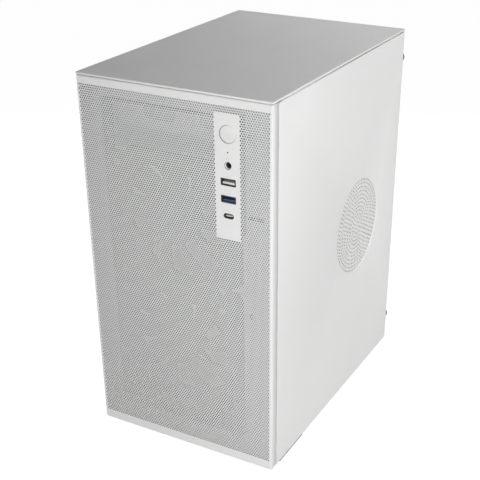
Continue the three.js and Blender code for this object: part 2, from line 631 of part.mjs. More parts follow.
// Slot that follows a ring round (a, b) for one share of its turn, less the bridge to the next slot.
function arcSlot(a, b, radius, width, middle) {
  const half = Math.PI / VENT_SLOTS - VENT_BRIDGE / (2 * radius);
  const shape = new THREE.Shape();
  shape.absarc(a, b, radius + width / 2, middle - half, middle + half);
  shape.absarc(a, b, radius - width / 2, middle + half, middle - half, true);
  return shape;
}

// Captive screw with a hand-sized head, its shank along -Z and its seat at z = 0.
function thumbscrew() {
  return turned(
    [
      [0, -THUMBSCREW_SHANK_LENGTH],
      [THUMBSCREW_SHANK_RADIUS, -THUMBSCREW_SHANK_LENGTH],
      [THUMBSCREW_SHANK_RADIUS, 0],
      [THUMBSCREW_HEAD_RADIUS, 0],
      [THUMBSCREW_HEAD_RADIUS, THUMBSCREW_HEAD_DEPTH],
      [0, THUMBSCREW_HEAD_DEPTH],
    ],
    12,
  );
}

// Long foot with cut corners and a narrower pad under it, standing on z = 0.
function foot(size) {
  const outline = (inset) =>
    chamferedRectangle(
      -size.width / 2 + inset,
      size.width / 2 - inset,
      -size.length / 2 + inset,
      size.length / 2 - inset,
      size.width * FOOT_CORNER,
    );
  const top = FOOT_HEIGHT + FRAME_BOTTOM - FIT;
  const column = plate("z", FOOT_PAD.height - FOOT_PAD.overlap, top, outline(0));
  const pad = plate("z", 0, FOOT_PAD.height, outline(FOOT_PAD.inset));
  return join(column, pad);
}

// ---------------------------------------------------------------- chassis
function basePan() {
  const floor = block(-FRAME_HALF, FRAME_HALF, FRAME_FRONT, FRAME_REAR, FRAME_BOTTOM, INNER_BOTTOM);
  const flangeFront = INNER_FRONT + FLANGE + FIT;
  const flangeRear = INNER_REAR - FLANGE - FIT;
  const flanges = [
    block(-FRAME_HALF, -INNER_HALF, flangeFront, flangeRear, FRAME_BOTTOM, FRAME_BOTTOM + FLANGE),
    block(INNER_HALF, FRAME_HALF, flangeFront, flangeRear, FRAME_BOTTOM, FRAME_BOTTOM + FLANGE),
  ];
  const { places, width, height, fromFront, fromRear } = FLOOR_RIBS;
  const ribs = places.map((x) =>
    block(
      x - width / 2,
      x + width / 2,
      flangeFront + fromFront,
      flangeRear - fromRear,
      INNER_BOTTOM - FRAME_SHEET / 2,
      INNER_BOTTOM + height,
    ),
  );
  return join(floor, flanges, ribs);
}

function topFrame() {
  const sheet = block(-FRAME_HALF, FRAME_HALF, FRAME_FRONT, FRAME_REAR, INNER_TOP, FRAME_TOP);
  const flangeFront = INNER_FRONT + FLANGE + FIT;
  const flangeRear = INNER_REAR - FLANGE - FIT;
  const low = FRAME_TOP - FLANGE;
  const flanges = [
    block(-FRAME_HALF, -INNER_HALF, flangeFront, flangeRear, low, FRAME_TOP),
    block(INNER_HALF, FRAME_HALF, flangeFront, flangeRear, low, FRAME_TOP),
  ];
  const { places, radius, y } = ROOF_HOLES;
  const lightening = places.map((x) => rod("z", radius, INNER_TOP - CUT, FRAME_TOP + CUT, x, y, 10));
  return cut(join(sheet, flanges), lightening);
}

// Front sheet of the chassis: a wide air opening, side flanges, and holes for the front panel's clips.
function chassisFront() {
  const low = INNER_BOTTOM + FIT;
  const high = INNER_TOP - FIT;
  const sheet = block(-FRAME_HALF, FRAME_HALF, FRAME_FRONT, INNER_FRONT, low, high);
  const flanges = [
    block(-FRAME_HALF, -INNER_HALF, FRAME_FRONT, INNER_FRONT + FLANGE, low, high),
    block(INNER_HALF, FRAME_HALF, FRAME_FRONT, INNER_FRONT + FLANGE, low, high),
  ];
  const { left, right, bottom, top, corner } = FRONT_OPENING;
  const before = FRAME_FRONT - CUT;
  const behind = INNER_FRONT + CUT;
  const opening = plate("y", before, behind, chamferedRectangle(left, right, bottom, top, corner));
  const clipHoles = [];
  for (const side of [-1, 1]) {
    for (const height of CLIP_HEIGHTS) {
      clipHoles.push(rod("y", CLIP_RADIUS + 2 * FIT, before, behind, side * CLIP_X, height, 6));
    }
  }
  const mountingX = right + FRONT_HOLES.fromOpening;
  const mountingHoles = FRONT_HOLES.heights.map((z) =>
    rod("y", FRONT_HOLES.radius, before, behind, mountingX, z, 10),
  );
  const slot = FRONT_CABLE_SLOT;
  const cableSlot = block(right + slot.from, right + slot.to, before, behind, slot.bottom, slot.top);
  return cut(join(sheet, flanges), opening, clipHoles, mountingHoles, cableSlot);
}

// Hexagonal field of round openings inside a circle.
function honeycomb(centreA, centreB, fieldRadius, pitch) {
  const rowPitch = pitch * Math.sin(Math.PI / 3);
  const reach = Math.ceil(fieldRadius / rowPitch);
  const places = [];
  for (let row = -reach; row <= reach; row += 1) {
    const shift = row % 2 === 0 ? 0 : pitch / 2;
    for (let column = -reach - 1; column <= reach; column += 1) {
      const a = column * pitch + shift;
      const b = row * rowPitch;
      if (Math.hypot(a, b) <= fieldRadius - pitch / 2) places.push([centreA + a, centreB + b]);
    }
  }
  return places;
}

// Slit round three sides of the blank at one height, which leaves it hanging at its right-hand end.
function blankSlit(z) {
  const end = SLOT.right - SLOT.bridge;
  const inner = SLOT.blankHalf;
  const outer = SLOT.blankHalf + SLOT.slit;
  return polygon([
    [end, z - outer],
    [end, z - inner],
    [SLOT.left + SLOT.slit, z - inner],
    [SLOT.left + SLOT.slit, z + inner],
    [end, z + inner],
    [end, z + outer],
    [SLOT.left, z + outer],
    [SLOT.left, z - outer],
  ]);
}

// Rear sheet: openings for the power supply, the board's sockets and the fan, and blanks that break out
// for cards. Each blank hangs at one end and has two air slots.
function chassisRear() {
  const low = INNER_BOTTOM + FIT;
  const high = INNER_TOP - FIT;
  const outside = FRAME_REAR + CUT;
  const inside = INNER_REAR - CUT;
  const sheet = block(-FRAME_HALF, FRAME_HALF, INNER_REAR, FRAME_REAR, low, high);
  const flanges = [
    block(-FRAME_HALF, -INNER_HALF, INNER_REAR - FLANGE, FRAME_REAR, low, high),
    block(INNER_HALF, FRAME_HALF, INNER_REAR - FLANGE, FRAME_REAR, low, high),
  ];
  const supplyOpening = plate(
    "y",
    inside,
    outside,
    chamferedRectangle(
      SUPPLY_LEFT + SUPPLY_BORDER,
      SUPPLY_RIGHT - SUPPLY_BORDER,
      SUPPLY_BOTTOM + SUPPLY_BORDER,
      SUPPLY_TOP - SUPPLY_BORDER,
      SUPPLY_BORDER,
    ),
  );
  const aperture = block(APERTURE_LEFT, APERTURE_RIGHT, inside, outside, IO_APERTURE.bottom, APERTURE_TOP);
  const slits = [];
  for (let index = 0; index < SLOT_COUNT; index += 1) {
    const z = SLOT_FIRST - index * SLOT_PITCH;
    slits.push(plate("y", inside, outside, blankSlit(z)));
    for (const start of SLOT_AIR.starts) {
      const x = SLOT.left + start;
      const half = SLOT_AIR.height / 2;
      slits.push(block(x, x + SLOT_AIR.length, inside, outside, z - half, z + half));
    }
  }
  const access = block(
    ACCESS_PLATE.left + ACCESS_PLATE.border,
    ACCESS_PLATE.right - ACCESS_PLATE.border,
    inside,
    outside,
    ACCESS_LOW + ACCESS_PLATE.border,
    ACCESS_HIGH - ACCESS_PLATE.border,
  );
  const fanHoles = mergeGeometries(
    honeycomb(REAR_FAN_X, REAR_FAN_Z, REAR_FAN.size / 2 - 1, REAR_GRILLE.pitch).map(([x, z]) =>
      rodGeometry("y", REAR_GRILLE.radius, inside, outside, x, z, 6),
    ),
  );
  const screws = [];
  for (const side of [-1, 1]) {
    for (const z of THUMBSCREW_HEIGHTS) {
      screws.push(rod("y", THUMBSCREW_SHANK_RADIUS + FIT, inside, outside, side * THUMBSCREW_X, z, 8));
    }
  }
  return cut(join(sheet, flanges), supplyOpening, aperture, slits, access, solid(fanHoles), screws);
}

// Flat plate that closes the window through which card brackets are screwed down.
function slotAccessPlate() {
  const { left, right, holeRadius, holeUp } = ACCESS_PLATE;
  const front = FRAME_REAR + FIT;
  const base = block(left, right, front, front + SHEET, ACCESS_LOW, ACCESS_HIGH);
  const z = (ACCESS_LOW + ACCESS_HIGH) / 2 + holeUp;
  return cut(base, rod("y", holeRadius, front - CUT, front + SHEET + CUT, (left + right) / 2, z, 10));
}

// Upright sheet that carries the board, with a window behind the processor and holes for cables.
function motherboardTray() {
  const front = TRAY_FRONT;
  const rear = INNER_REAR - FIT;
  const low = INNER_BOTTOM + FIT;
  const high = INNER_TOP - FIT;
  const back = TRAY_X + FRAME_SHEET;
  const sheet = block(TRAY_X, back, front, rear, low, high);
  const reach = back + TRAY_FLANGE;
  const flanges = [
    block(TRAY_X, reach, front + TRAY_CUT.foot, rear - FLANGE, low, low + FRAME_SHEET),
    block(TRAY_X, reach, front + TRAY_CUT.foot, rear - FLANGE, high - FRAME_SHEET, high),
    block(TRAY_X, reach, rear - FRAME_SHEET, rear, low, high),
    block(TRAY_X, reach, front, front + FRAME_SHEET, low + TRAY_CUT.frontLow, high - TRAY_CUT.frontHigh),
  ];
  const window = block(
    TRAY_X - CUT,
    back + CUT,
    VENT_Y - PROCESSOR_WINDOW.depth / 2,
    VENT_Y + PROCESSOR_WINDOW.depth / 2,
    VENT_Z - PROCESSOR_WINDOW.height / 2,
    VENT_Z + PROCESSOR_WINDOW.height / 2,
  );
  const holes = CABLE_HOLES.map(({ y, z, depth, height }) => {
    const outline = chamferedRectangle(
      y - depth / 2,
      y + depth / 2,
      z - height / 2,
      z + height / 2,
      Math.min(depth, height) * CABLE_HOLE_CORNER,
    );
    return plate("x", TRAY_X - CUT, back + CUT, outline);
  });
  const standoffs = STANDOFF_PLACES.map(([y, z]) =>
    rod("x", STANDOFF_RADIUS, BOARD_BACK + FIT, TRAY_X + FRAME_SHEET / 2, y, z, 6),
  );
  return join(cut(join(sheet, flanges), window, holes), standoffs);
}

// ---------------------------------------------------------------- fans, with the intake side at +Z
function fanFrame(fan) {
  const half = fan.size / 2;
  const outline = chamferedRectangle(-half, half, -half, half, fan.size * FAN_CORNER);
  const square = plate("z", 0, fan.depth, outline);
  const duct = rod("z", half - FAN_WALL, -CUT, fan.depth + CUT, 0, 0, 20);
  const spokeDepth = fan.depth * FAN_MOTOR_DEPTH;
  const spokes = quarterTurns(Math.PI / 4, (angle) => {
    const spoke = new THREE.BoxGeometry(half, fan.size * FAN_SPOKE_WIDTH, spokeDepth);
    spoke.translate(half / 2, 0, spokeDepth / 2);
    return solid(spoke.rotateZ(angle));
  });
  return join(cut(square, duct), spokes, fanMotor(fan));
}

function quarterTurns(start, make) {
  return [0, 1, 2, 3].map((turn) => make(start + (turn * Math.PI) / 2));
}

// Plinth in the middle of a fan's frame and the axle that stands on it.
function fanMotor(fan) {
  return [
    rod("z", fan.hub, 0, fan.depth * FAN_MOTOR_DEPTH, 0, 0, 12),
    rod("z", AXLE_RADIUS, 0, fan.depth * FAN_AXLE_DEPTH, 0, 0, 6),
  ];
}

// One blade: a thin slab bent round the hub, swept back and pitched like a propeller.
function fanBlade(fan, inner, outer) {
  const blade = new THREE.BoxGeometry(1, 1, 1, 1, 2, 1);
  const position = blade.attributes.position;
  const chord = (BLADE.solidity * 2 * Math.PI) / fan.blades;
  for (let index = 0; index < position.count; index += 1) {
    const along = position.getX(index) + 0.5;
    const across = position.getY(index);
    const radius = inner + along * (outer - inner);
    const angle = across * chord * (1 - BLADE.narrowing * along) + BLADE.sweep * along;
    const rise = across * BLADE.rise * (1 - BLADE.flattening * along);
    const height = fan.depth * (BLADE.level + rise + position.getZ(index) * BLADE.thickness);
    position.setXYZ(index, radius * Math.cos(angle), radius * Math.sin(angle), height);
  }
  return blade;
}

function fanRotor(fan) {
  const tip = fan.size / 2 - FAN_WALL - FAN_TIP_GAP;
  const low = fan.depth * FAN_MOTOR_DEPTH + FIT;
  const high = fan.depth * FAN_HUB_TOP;
  const bore = AXLE_RADIUS + FIT;
  const boreEnd = fan.depth * FAN_AXLE_DEPTH + FIT;
  const hub = turned(
    [
      [0, boreEnd],
      [bore, boreEnd],
      [bore, low],
      [fan.hub, low],
      [fan.hub, high],
      [0, high],
    ],
    2 * fan.blades,
  );
  const blades = [];
  for (let index = 0; index < fan.blades; index += 1) {
    const blade = fanBlade(fan, fan.hub - FAN_TIP_GAP, tip);
    blades.push(solid(blade.rotateZ((2 * Math.PI * index) / fan.blades)));
  }
  return join(hub, blades);
}

// A frame and its rotor share one place and turn.
function placeFan(name, fan, position, rotation, frameSolid = fanFrame(fan)) {
  const unit = new THREE.Group();
  unit.position.set(...position);
  unit.rotation.set(...rotation);
  body.add(unit);
  piece(name + "_frame", frameSolid, FINISH.blackPlastic, unit);
  piece(name + "_rotor", fanRotor(fan), FINISH.blackPlastic, unit);
}

// Ladder-shaped black plate that spans the air opening and carries the two intake fans.
function fanBracket() {
  const left = FRONT_FAN_X - FRONT_FAN.size / 2;
  const right = FRONT_FAN_X + FRONT_FAN.size / 2;
  const before = FAN_BRACKET_FRONT - CUT;
  const behind = FAN_BRACKET_REAR + CUT;
  const { overlap, inlet } = FAN_BRACKET_EDGE;
  const sheet = block(
    left - FAN_BRACKET_EDGE.left,
    right,
    FAN_BRACKET_FRONT,
    FAN_BRACKET_REAR,
    FRONT_OPENING.bottom - overlap,
    FRONT_OPENING.top + overlap,
  );
  const inlets = FRONT_FAN_HEIGHTS.map((z) =>
    rod("y", FRONT_FAN.size / 2 - inlet, before, behind, FRONT_FAN_X, z, 24),
  );
  const window = block(
    left + FAN_BRACKET_WINDOW.left,
    right - FAN_BRACKET_WINDOW.right,
    before,
    behind,
    Math.max(...FRONT_FAN_HEIGHTS) + FRONT_FAN.size / 2 + FAN_BRACKET_WINDOW.above,
    FRONT_OPENING.top - FAN_BRACKET_WINDOW.below,
  );
  return cut(sheet, inlets, window);
}

// ---------------------------------------------------------------- front sockets
// Moulded carrier behind the plain strip. Its foot lies on the chassis and a sleeve guides the button.
function ioBracket() {
  const left = STRIP_LEFT + IO_PLATE_INSET.left;
  const right = STRIP_RIGHT - IO_PLATE_INSET.right;
  const low = STRIP_BOTTOM + IO_PLATE_INSET.ends;
  const high = STRIP_TOP - IO_PLATE_INSET.ends;
  const face = block(left, right, IO_PLATE_FRONT, IO_PLATE_REAR, low, high);
  const wall = block(right - IO_WALL, right, IO_PLATE_FRONT, FRAME_FRONT - FIT, low, high);
  const sleeveOuter = BUTTON_RADIUS + FIT + BUTTON_SLEEVE;
  const sleeveEnd = FRAME_FRONT - 1;
  const sleeve = rod("y", sleeveOuter, IO_PLATE_FRONT, sleeveEnd, PORTS_X, BUTTON_Z, 16);
  const behind = FRAME_FRONT + CUT;
  const openings = [
    rod("y", BUTTON_RADIUS + FIT, 0, sleeveEnd - IO_WALL, PORTS_X, BUTTON_Z, 20),
    rod("y", BUTTON_STEM_RADIUS + FIT, 0, behind, PORTS_X, BUTTON_Z, 20),
    rod("y", LED_RADIUS + FIT, 0, behind, PORTS_X, LED_Z, 6),
    rod("y", JACK_RADIUS + FIT, 0, behind, PORTS_X, JACK_Z, 12),
    ...[USB2_Z, USB3_Z].map((z) => carrierOpening(USB_A, z)),
    carrierOpening(USB_C, USBC_Z),
  ];
  const postX = IO_BOARD_LEFT + IO_POST.inset;
  const posts = [STRIP_BOTTOM + IO_POST.fromFoot, LED_Z + IO_POST.overLight].map((z) =>
    rod("y", IO_POST.radius, IO_PLATE_FRONT, IO_BOARD_FRONT - FIT, postX, z, 6),
  );
  return join(cut(join(face, wall, sleeve), openings), posts);
}

function carrierOpening(size, z) {
  const halfWidth = size.width / 2 + FIT;
  const halfHeight = size.height / 2 + FIT;
  const end = FRAME_FRONT + CUT;
  return block(PORTS_X - halfWidth, PORTS_X + halfWidth, 0, end, z - halfHeight, z + halfHeight);
}

function ioBoard() {
  const { foot, overButton, corner } = IO_BOARD_EDGE;
  const low = STRIP_BOTTOM + foot;
  const outline = chamferedRectangle(IO_BOARD_LEFT, IO_BOARD_RIGHT, low, BUTTON_Z + overButton, corner);
  return plate("y", IO_BOARD_FRONT, IO_BOARD_FRONT + IO_BOARD_THICKNESS, outline);
}

// Round cap with a stem that slides in the carrier's sleeve. It faces -Z at z = 0.
function powerButton() {
  const stemEnd = SWITCH_FRONT - BUTTON_TRAVEL - FIT - BUTTON_FACE;
  return turned(
    [
      [0, 0],
      [BUTTON_RADIUS - BUTTON_EDGE, 0],
      [BUTTON_RADIUS, BUTTON_EDGE],
      [BUTTON_RADIUS, BUTTON_CAP_DEPTH],
      [BUTTON_STEM_RADIUS, BUTTON_CAP_DEPTH],
      [BUTTON_STEM_RADIUS, stemEnd],
      [0, stemEnd],
    ],
    18,
  );
}

function powerSwitch() {
  const rear = IO_BOARD_FRONT - FIT;
  const { half, plunger, plungerHeight } = SMALL_SWITCH;
  const bodyFront = SWITCH_FRONT + plungerHeight;
  const base = block(PORTS_X - half, PORTS_X + half, bodyFront, rear, BUTTON_Z - half, BUTTON_Z + half);
  return join(base, rod("y", plunger, SWITCH_FRONT, rear - 1, PORTS_X, BUTTON_Z, 12));
}

function powerLed() {
  const rear = IO_BOARD_FRONT - FIT;
  const pipe = rod("y", LED_RADIUS, SOCKET_FACE, rear - 1, PORTS_X, LED_Z, 8);
  return join(pipe, rod("y", LED_BASE_RADIUS, IO_PLATE_REAR + FIT, rear, PORTS_X, LED_Z, 10));
}

function audioJack() {
  const rear = IO_BOARD_FRONT - FIT;
  const { left, right, half, bore } = JACK_HOUSING;
  const front = IO_PLATE_REAR + FIT;
  const collar = rod("y", JACK_RADIUS, SOCKET_FACE, front + half, PORTS_X, JACK_Z, 16);
  const housing = block(PORTS_X - left, PORTS_X + right, front, rear, JACK_Z - half, JACK_Z + half);
  return cut(join(collar, housing), rod("y", bore, -CUT, rear - SOCKET_BACK, PORTS_X, JACK_Z, 12));
}

// Folded-tube socket with a contact tongue inside, open towards the front.
function usbSocket(z) {
  const { width, height, depth, wall } = USB_A;
  const { inset, low, high } = USB_A_TONGUE;
  const rear = SOCKET_FACE + depth;
  const left = PORTS_X - width / 2;
  const right = PORTS_X + width / 2;
  const shell = block(left, right, SOCKET_FACE, rear, z - height / 2, z + height / 2);
  const mouth = block(
    left + wall,
    right - wall,
    -CUT,
    rear - SOCKET_BACK,
    z - height / 2 + wall,
    z + height / 2 - wall,
  );
  const tip = SOCKET_FACE + TONGUE_SETBACK;
  const blade = block(left + inset, right - inset, tip, rear - TONGUE_SETBACK, z + low, z + high);
  return join(cut(shell, mouth), blade);
}

function usbTypeC() {
  const rear = SOCKET_FACE + USB_C.depth;
  const halfWidth = USB_C.width / 2;
  const halfHeight = USB_C.height / 2;
  const outline = (inset) =>
    roundedRectangle(
      PORTS_X - halfWidth + inset,
      PORTS_X + halfWidth - inset,
      USBC_Z - halfHeight + inset,
      USBC_Z + halfHeight - inset,
      halfHeight - inset - 0.01, // short of a half circle, so that no edge has no length
    );
  const shell = plate("y", SOCKET_FACE, rear, outline(0), 1);
  const mouth = plate("y", -CUT, rear - SOCKET_BACK, outline(USB_C.wall), 1);
  const across = USB_C_TONGUE.width / 2;
  const up = USB_C_TONGUE.thickness / 2;
  const tip = SOCKET_FACE + TONGUE_SETBACK;
  const tongue = block(
    PORTS_X - across,
    PORTS_X + across,
    tip,
    rear - TONGUE_SETBACK,
    USBC_Z - up,
    USBC_Z + up,
  );
  return join(cut(shell, mouth), tongue);
}

// ---------------------------------------------------------------- motherboard
function motherboard() {
  const sheet = block(BOARD_FACE, BOARD_BACK, BOARD_FRONT, BOARD_REAR, BOARD.bottom, BOARD_TOP);
  const holes = STANDOFF_PLACES.map(([y, z]) =>
    rod("x", BOARD_HOLE_RADIUS, BOARD_FACE - CUT, BOARD_BACK + CUT, y, z, 6),
  );
  return cut(sheet, holes);
}

function rearSocketBlock({ low, high, reach }) {
  return block(
    ON_BOARD - reach,
    ON_BOARD,
    BOARD_REAR - REAR_SOCKET_LENGTH,
    SOCKET_OUTER,
    IO_APERTURE.bottom + low,
    IO_APERTURE.bottom + high,
  );
}

function rearAudioJacks() {
  const socket = REAR_SOCKETS.audio;
  const middle = IO_APERTURE.bottom + (socket.low + socket.high) / 2;
  const floor = SOCKET_OUTER - REAR_SOCKET_HOLLOW;
  const bores = socket.bores.map((out) =>
    rod("y", socket.boreRadius, floor, SOCKET_OUTER + CUT, ON_BOARD - out, middle, 12),
  );
  return cut(rearSocketBlock(socket), bores);
}

// Mouth in a rear socket with a contact tongue left standing in it.
function rearMouth(x, z, { width, height }, tongueLeft, tongueRight) {
  const floor = SOCKET_OUTER - REAR_SOCKET_HOLLOW;
  const up = height / 2;
  const mouth = block(x - width / 2, x + width / 2, floor, SOCKET_OUTER + CUT, z - up, z + up);
  const tongue = block(
    x + tongueLeft,
    x + tongueRight,
    floor - CUT,
    SOCKET_OUTER - 1,
    z - up + 1,
    z + up - 1,
  );
  return cut(mouth, tongue);
}

function rearUsbPorts() {
  const socket = REAR_SOCKETS.usb;
  const low = IO_APERTURE.bottom + socket.low;
  const mouths = socket.columns.flatMap((up) =>
    socket.levels.map((out) => rearMouth(ON_BOARD - out, low + up, socket.mouth, 0.4, 2)),
  );
  return cut(rearSocketBlock(socket), mouths);
}

function rearVideoPorts() {
  const socket = REAR_SOCKETS.video;
  const low = IO_APERTURE.bottom + socket.low;
  const x = ON_BOARD - socket.reach / 2;
  const mouths = socket.places.map((up) => rearMouth(x, low + up, socket.mouth, -0.7, 0.7));
  return cut(rearSocketBlock(socket), mouths);
}

// Thin plate pressed into the rear opening, cut out round each socket.
function ioShield() {
  const { thickness, setback, rim } = IO_SHIELD;
  const left = APERTURE_LEFT + FIT;
  const low = IO_APERTURE.bottom + FIT;
  const high = APERTURE_TOP - FIT;
  const front = INNER_REAR + setback;
  const sheet = block(left, APERTURE_RIGHT - FIT, front, front + thickness, low, high);
  const rimFront = INNER_REAR - rim;
  const frame = cut(
    block(left, ON_BOARD, rimFront, front + thickness / 2, low, high),
    block(
      left + thickness,
      APERTURE_RIGHT + CUT,
      rimFront - CUT,
      INNER_REAR + CUT,
      low + thickness,
      high - thickness,
    ),
  );
  const openings = Object.values(REAR_SOCKETS).map((socket) =>
    block(
      ON_BOARD - socket.reach - FIT,
      ON_BOARD + FIT,
      INNER_REAR - CUT,
      FRAME_REAR + CUT,
      IO_APERTURE.bottom + socket.low - FIT,
      IO_APERTURE.bottom + socket.high + FIT,
    ),
  );
  return cut(join(sheet, frame), openings);
}

function processor() {
  const half = SOCKET.size / 2;
  const frameFace = ON_BOARD - SOCKET.frame;
  const frame = block(frameFace, ON_BOARD, VENT_Y - half, VENT_Y + half, VENT_Z - half, VENT_Z + half);
  const lidHalf = SOCKET.lid / 2;
  const lid = block(
    ON_BOARD - SOCKET.height,
    frameFace + SOCKET.frame / 2,
    VENT_Y - lidHalf,
    VENT_Y + lidHalf,
    VENT_Z - lidHalf,
    VENT_Z + lidHalf,
  );
  return join(frame, lid);
}

// Extruded aluminium: swept fins round a solid core, its foot at z = 0.
function coolerHeatsink() {
  const points = [];
  const { core, radius, fins, finWidth, sweep } = COOLER;
  const rootHalf = finWidth / 2 / core;
  const tipHalf = finWidth / 2 / radius;
  for (let index = 0; index < fins; index += 1) {
    const angle = (2 * Math.PI * index) / fins;
    points.push([core, angle - rootHalf]);
    points.push([radius, angle + sweep - tipHalf]);
    points.push([radius, angle + sweep + tipHalf]);
    points.push([core, angle + rootHalf]);
  }
  const outline = polygon(points.map(([r, angle]) => [r * Math.cos(angle), r * Math.sin(angle)]));
  return plate("z", 0, COOLER.height, outline);
}

// Round fan frame over the heatsink. Four legs reach down beside the fins to the board.
function coolerFanFrame(legLength) {
  const half = COOLER_FAN.size / 2;
  const inner = half - FAN_WALL;
  const ring = cut(
    rod("z", half, 0, COOLER_FAN.depth, 0, 0, 20),
    rod("z", inner, -CUT, COOLER_FAN.depth + CUT, 0, 0, 20),
  );
  const spokeLength = half - FAN_WALL / 2;
  const spokes = quarterTurns(0, (angle) => {
    const spoke = new THREE.BoxGeometry(spokeLength, COOLER_SPOKE.width, COOLER_SPOKE.depth);
    spoke.translate(spokeLength / 2, 0, COOLER_SPOKE.depth / 2);
    return solid(spoke.rotateZ(angle));
  });
  const { arm, depth, tip, top, overlap } = COOLER_LEG;
  const pinRadius = COOLER.pinSpacing / Math.SQRT2;
  const postLength = legLength + depth;
  const legs = quarterTurns(Math.PI / 4, (angle) => {
    const bar = new THREE.BoxGeometry(pinRadius - half + overlap, arm, depth);
    bar.translate((pinRadius + half) / 2 - 1, 0, depth / 2);
    const post = new THREE.CylinderGeometry(top, tip, postLength, 6);
    post.rotateX(Math.PI / 2);
    post.translate(pinRadius, 0, depth - postLength / 2);
    return join(solid(bar.rotateZ(angle)), solid(post.rotateZ(angle)));
  });
  return join(ring, spokes, fanMotor(COOLER_FAN), legs);
}

// Long socket with a card groove and a latch block at each end.
function memorySlot(y) {
  const { height, width, ends, latchHeight, latchWidth, latchGap } = MEMORY_SLOT;
  const low = MEMORY_LOW - ends;
  const high = MEMORY_HIGH + ends;
  const bar = block(ON_BOARD - height, ON_BOARD, y - width / 2, y + width / 2, low, high);
  const latches = [
    [low, MEMORY_LOW - latchGap],
    [MEMORY_HIGH + latchGap, high],
  ].map(([from, to]) =>
    block(ON_BOARD - latchHeight, ON_BOARD, y - latchWidth / 2, y + latchWidth / 2, from, to),
  );
  const groove = block(
    ON_BOARD - latchHeight - CUT,
    ON_BOARD - CARD_GROOVE.floor,
    y - CARD_GROOVE.width / 2,
    y + CARD_GROOVE.width / 2,
    MEMORY_LOW - FIT,
    MEMORY_HIGH + FIT,
  );
  return cut(join(bar, latches), groove);
}

function memoryModule(y) {
  const foot = ON_BOARD - CARD_GROOVE.floor - FIT;
  const { height, thickness, card } = MEMORY;
  const bare = block(foot - height, foot, y - card / 2, y + card / 2, MEMORY_LOW, MEMORY_HIGH);
  const spreader = block(
    foot - height - 0.6,
    foot - MEMORY_SLOT.height,
    y - thickness / 2,
    y + thickness / 2,
    MEMORY_LOW + 2,
    MEMORY_HIGH - 2,
  );
  const notch = block(
    foot - CARD_NOTCH.depth,
    foot + CUT,
    y - card,
    y + card,
    MEMORY_LOW + CARD_NOTCH.from,
    MEMORY_LOW + CARD_NOTCH.to,
  );
  return cut(join(bare, spreader), notch);
}

function graphicsSlot() {
  const { length, height, width, fromRear } = CARD_SLOT;
  const z = SLOT_FIRST;
  const rear = BOARD_REAR - fromRear;
  const front = rear - length;
  const bar = block(ON_BOARD - height, ON_BOARD, front, rear, z - width / 2, z + width / 2);
  const hook = block(
    ON_BOARD - CARD_LATCH.height,
    ON_BOARD,
    front - CARD_LATCH.length,
    front + 1,
    z - CARD_LATCH.width / 2,
    z + CARD_LATCH.width / 2,
  );
  const groove = block(
    ON_BOARD - height - CUT,
    ON_BOARD - CARD_GROOVE.floor,
    front + 2,
    rear - 2,
    z - CARD_GROOVE.width / 2,
    z + CARD_GROOVE.width / 2,
  );
  return cut(join(bar, hook), groove);
}

function chipsetHeatsink() {
  const y = BOARD_FRONT + CHIPSET.fromFront;
  const z = BOARD.bottom + CHIPSET.fromFoot;
  const half = CHIPSET.size / 2;
  const face = ON_BOARD - CHIPSET.base;
  const base = block(face, ON_BOARD, y - half, y + half, z - half, z + half);
  const pitch = (CHIPSET.size - CHIPSET.finWidth) / (CHIPSET.fins - 1);
  const fins = [];
  for (let index = 0; index < CHIPSET.fins; index += 1) {
    const low = z - half + index * pitch;
    const tip = ON_BOARD - CHIPSET.height;
    fins.push(block(tip, face + CHIPSET.base / 2, y - half, y + half, low, low + CHIPSET.finWidth));
  }
  return join(base, fins);
}

// ---------------------------------------------------------------- power supply
function supplyCase() {
  const wall = SUPPLY.wall;
  const shell = cut(
    block(SUPPLY_LEFT, SUPPLY_RIGHT, SUPPLY_FRONT, SUPPLY_REAR, SUPPLY_BOTTOM, SUPPLY_TOP),
    block(
      SUPPLY_LEFT + wall,
      SUPPLY_RIGHT - wall,
      SUPPLY_FRONT + wall,
      SUPPLY_REAR - wall,
      SUPPLY_BOTTOM + wall,
      SUPPLY_TOP - wall,
    ),
  );
  const below = SUPPLY_BOTTOM - CUT;
  const above = SUPPLY_BOTTOM + wall + CUT;
  const fanOpening = rod("z", SUPPLY_FAN.opening, below, above, SUPPLY_X, SUPPLY_FAN_Y, 24);
  const inside = SUPPLY_REAR - wall - CUT;
  const outside = SUPPLY_REAR + CUT;
  const { pitch, radius, left, up, rows, columns } = SUPPLY_VENTS;
  const ventHoles = [];
  for (let row = 0; row < rows; row += 1) {
    const shifted = row % 2;
    for (let column = 0; column < columns - shifted; column += 1) {
      const x = SUPPLY_LEFT + left + (column + shifted / 2) * pitch;
      const z = SUPPLY_BOTTOM + up + row * pitch * Math.sin(Math.PI / 3);
      ventHoles.push(rodGeometry("y", radius, inside, outside, x, z, 6));
    }
  }
  const fittings = [
    [INLET_Z, INLET, FIT],
    [SWITCH_Z, SWITCH, SWITCH.play],
  ].map(([z, { width, height }, play]) =>
    block(
      INLET_X - width / 2 - FIT,
      INLET_X + width / 2 + FIT,
      inside,
      outside,
      z - height / 2 - play,
      z + height / 2 + play,
    ),
  );
  const exit = plate(
    "y",
    SUPPLY_FRONT - CUT,
    SUPPLY_FRONT + wall + CUT,
    chamferedRectangle(
      SUPPLY_EXIT.x - SUPPLY_EXIT.width / 2,
      SUPPLY_EXIT.x + SUPPLY_EXIT.width / 2,
      SUPPLY_EXIT_Z - SUPPLY_EXIT.height / 2,
      SUPPLY_EXIT_Z + SUPPLY_EXIT.height / 2,
      SUPPLY_EXIT.corner,
    ),
  );
  return cut(shell, fanOpening, solid(mergeGeometries(ventHoles)), fittings, exit);
}

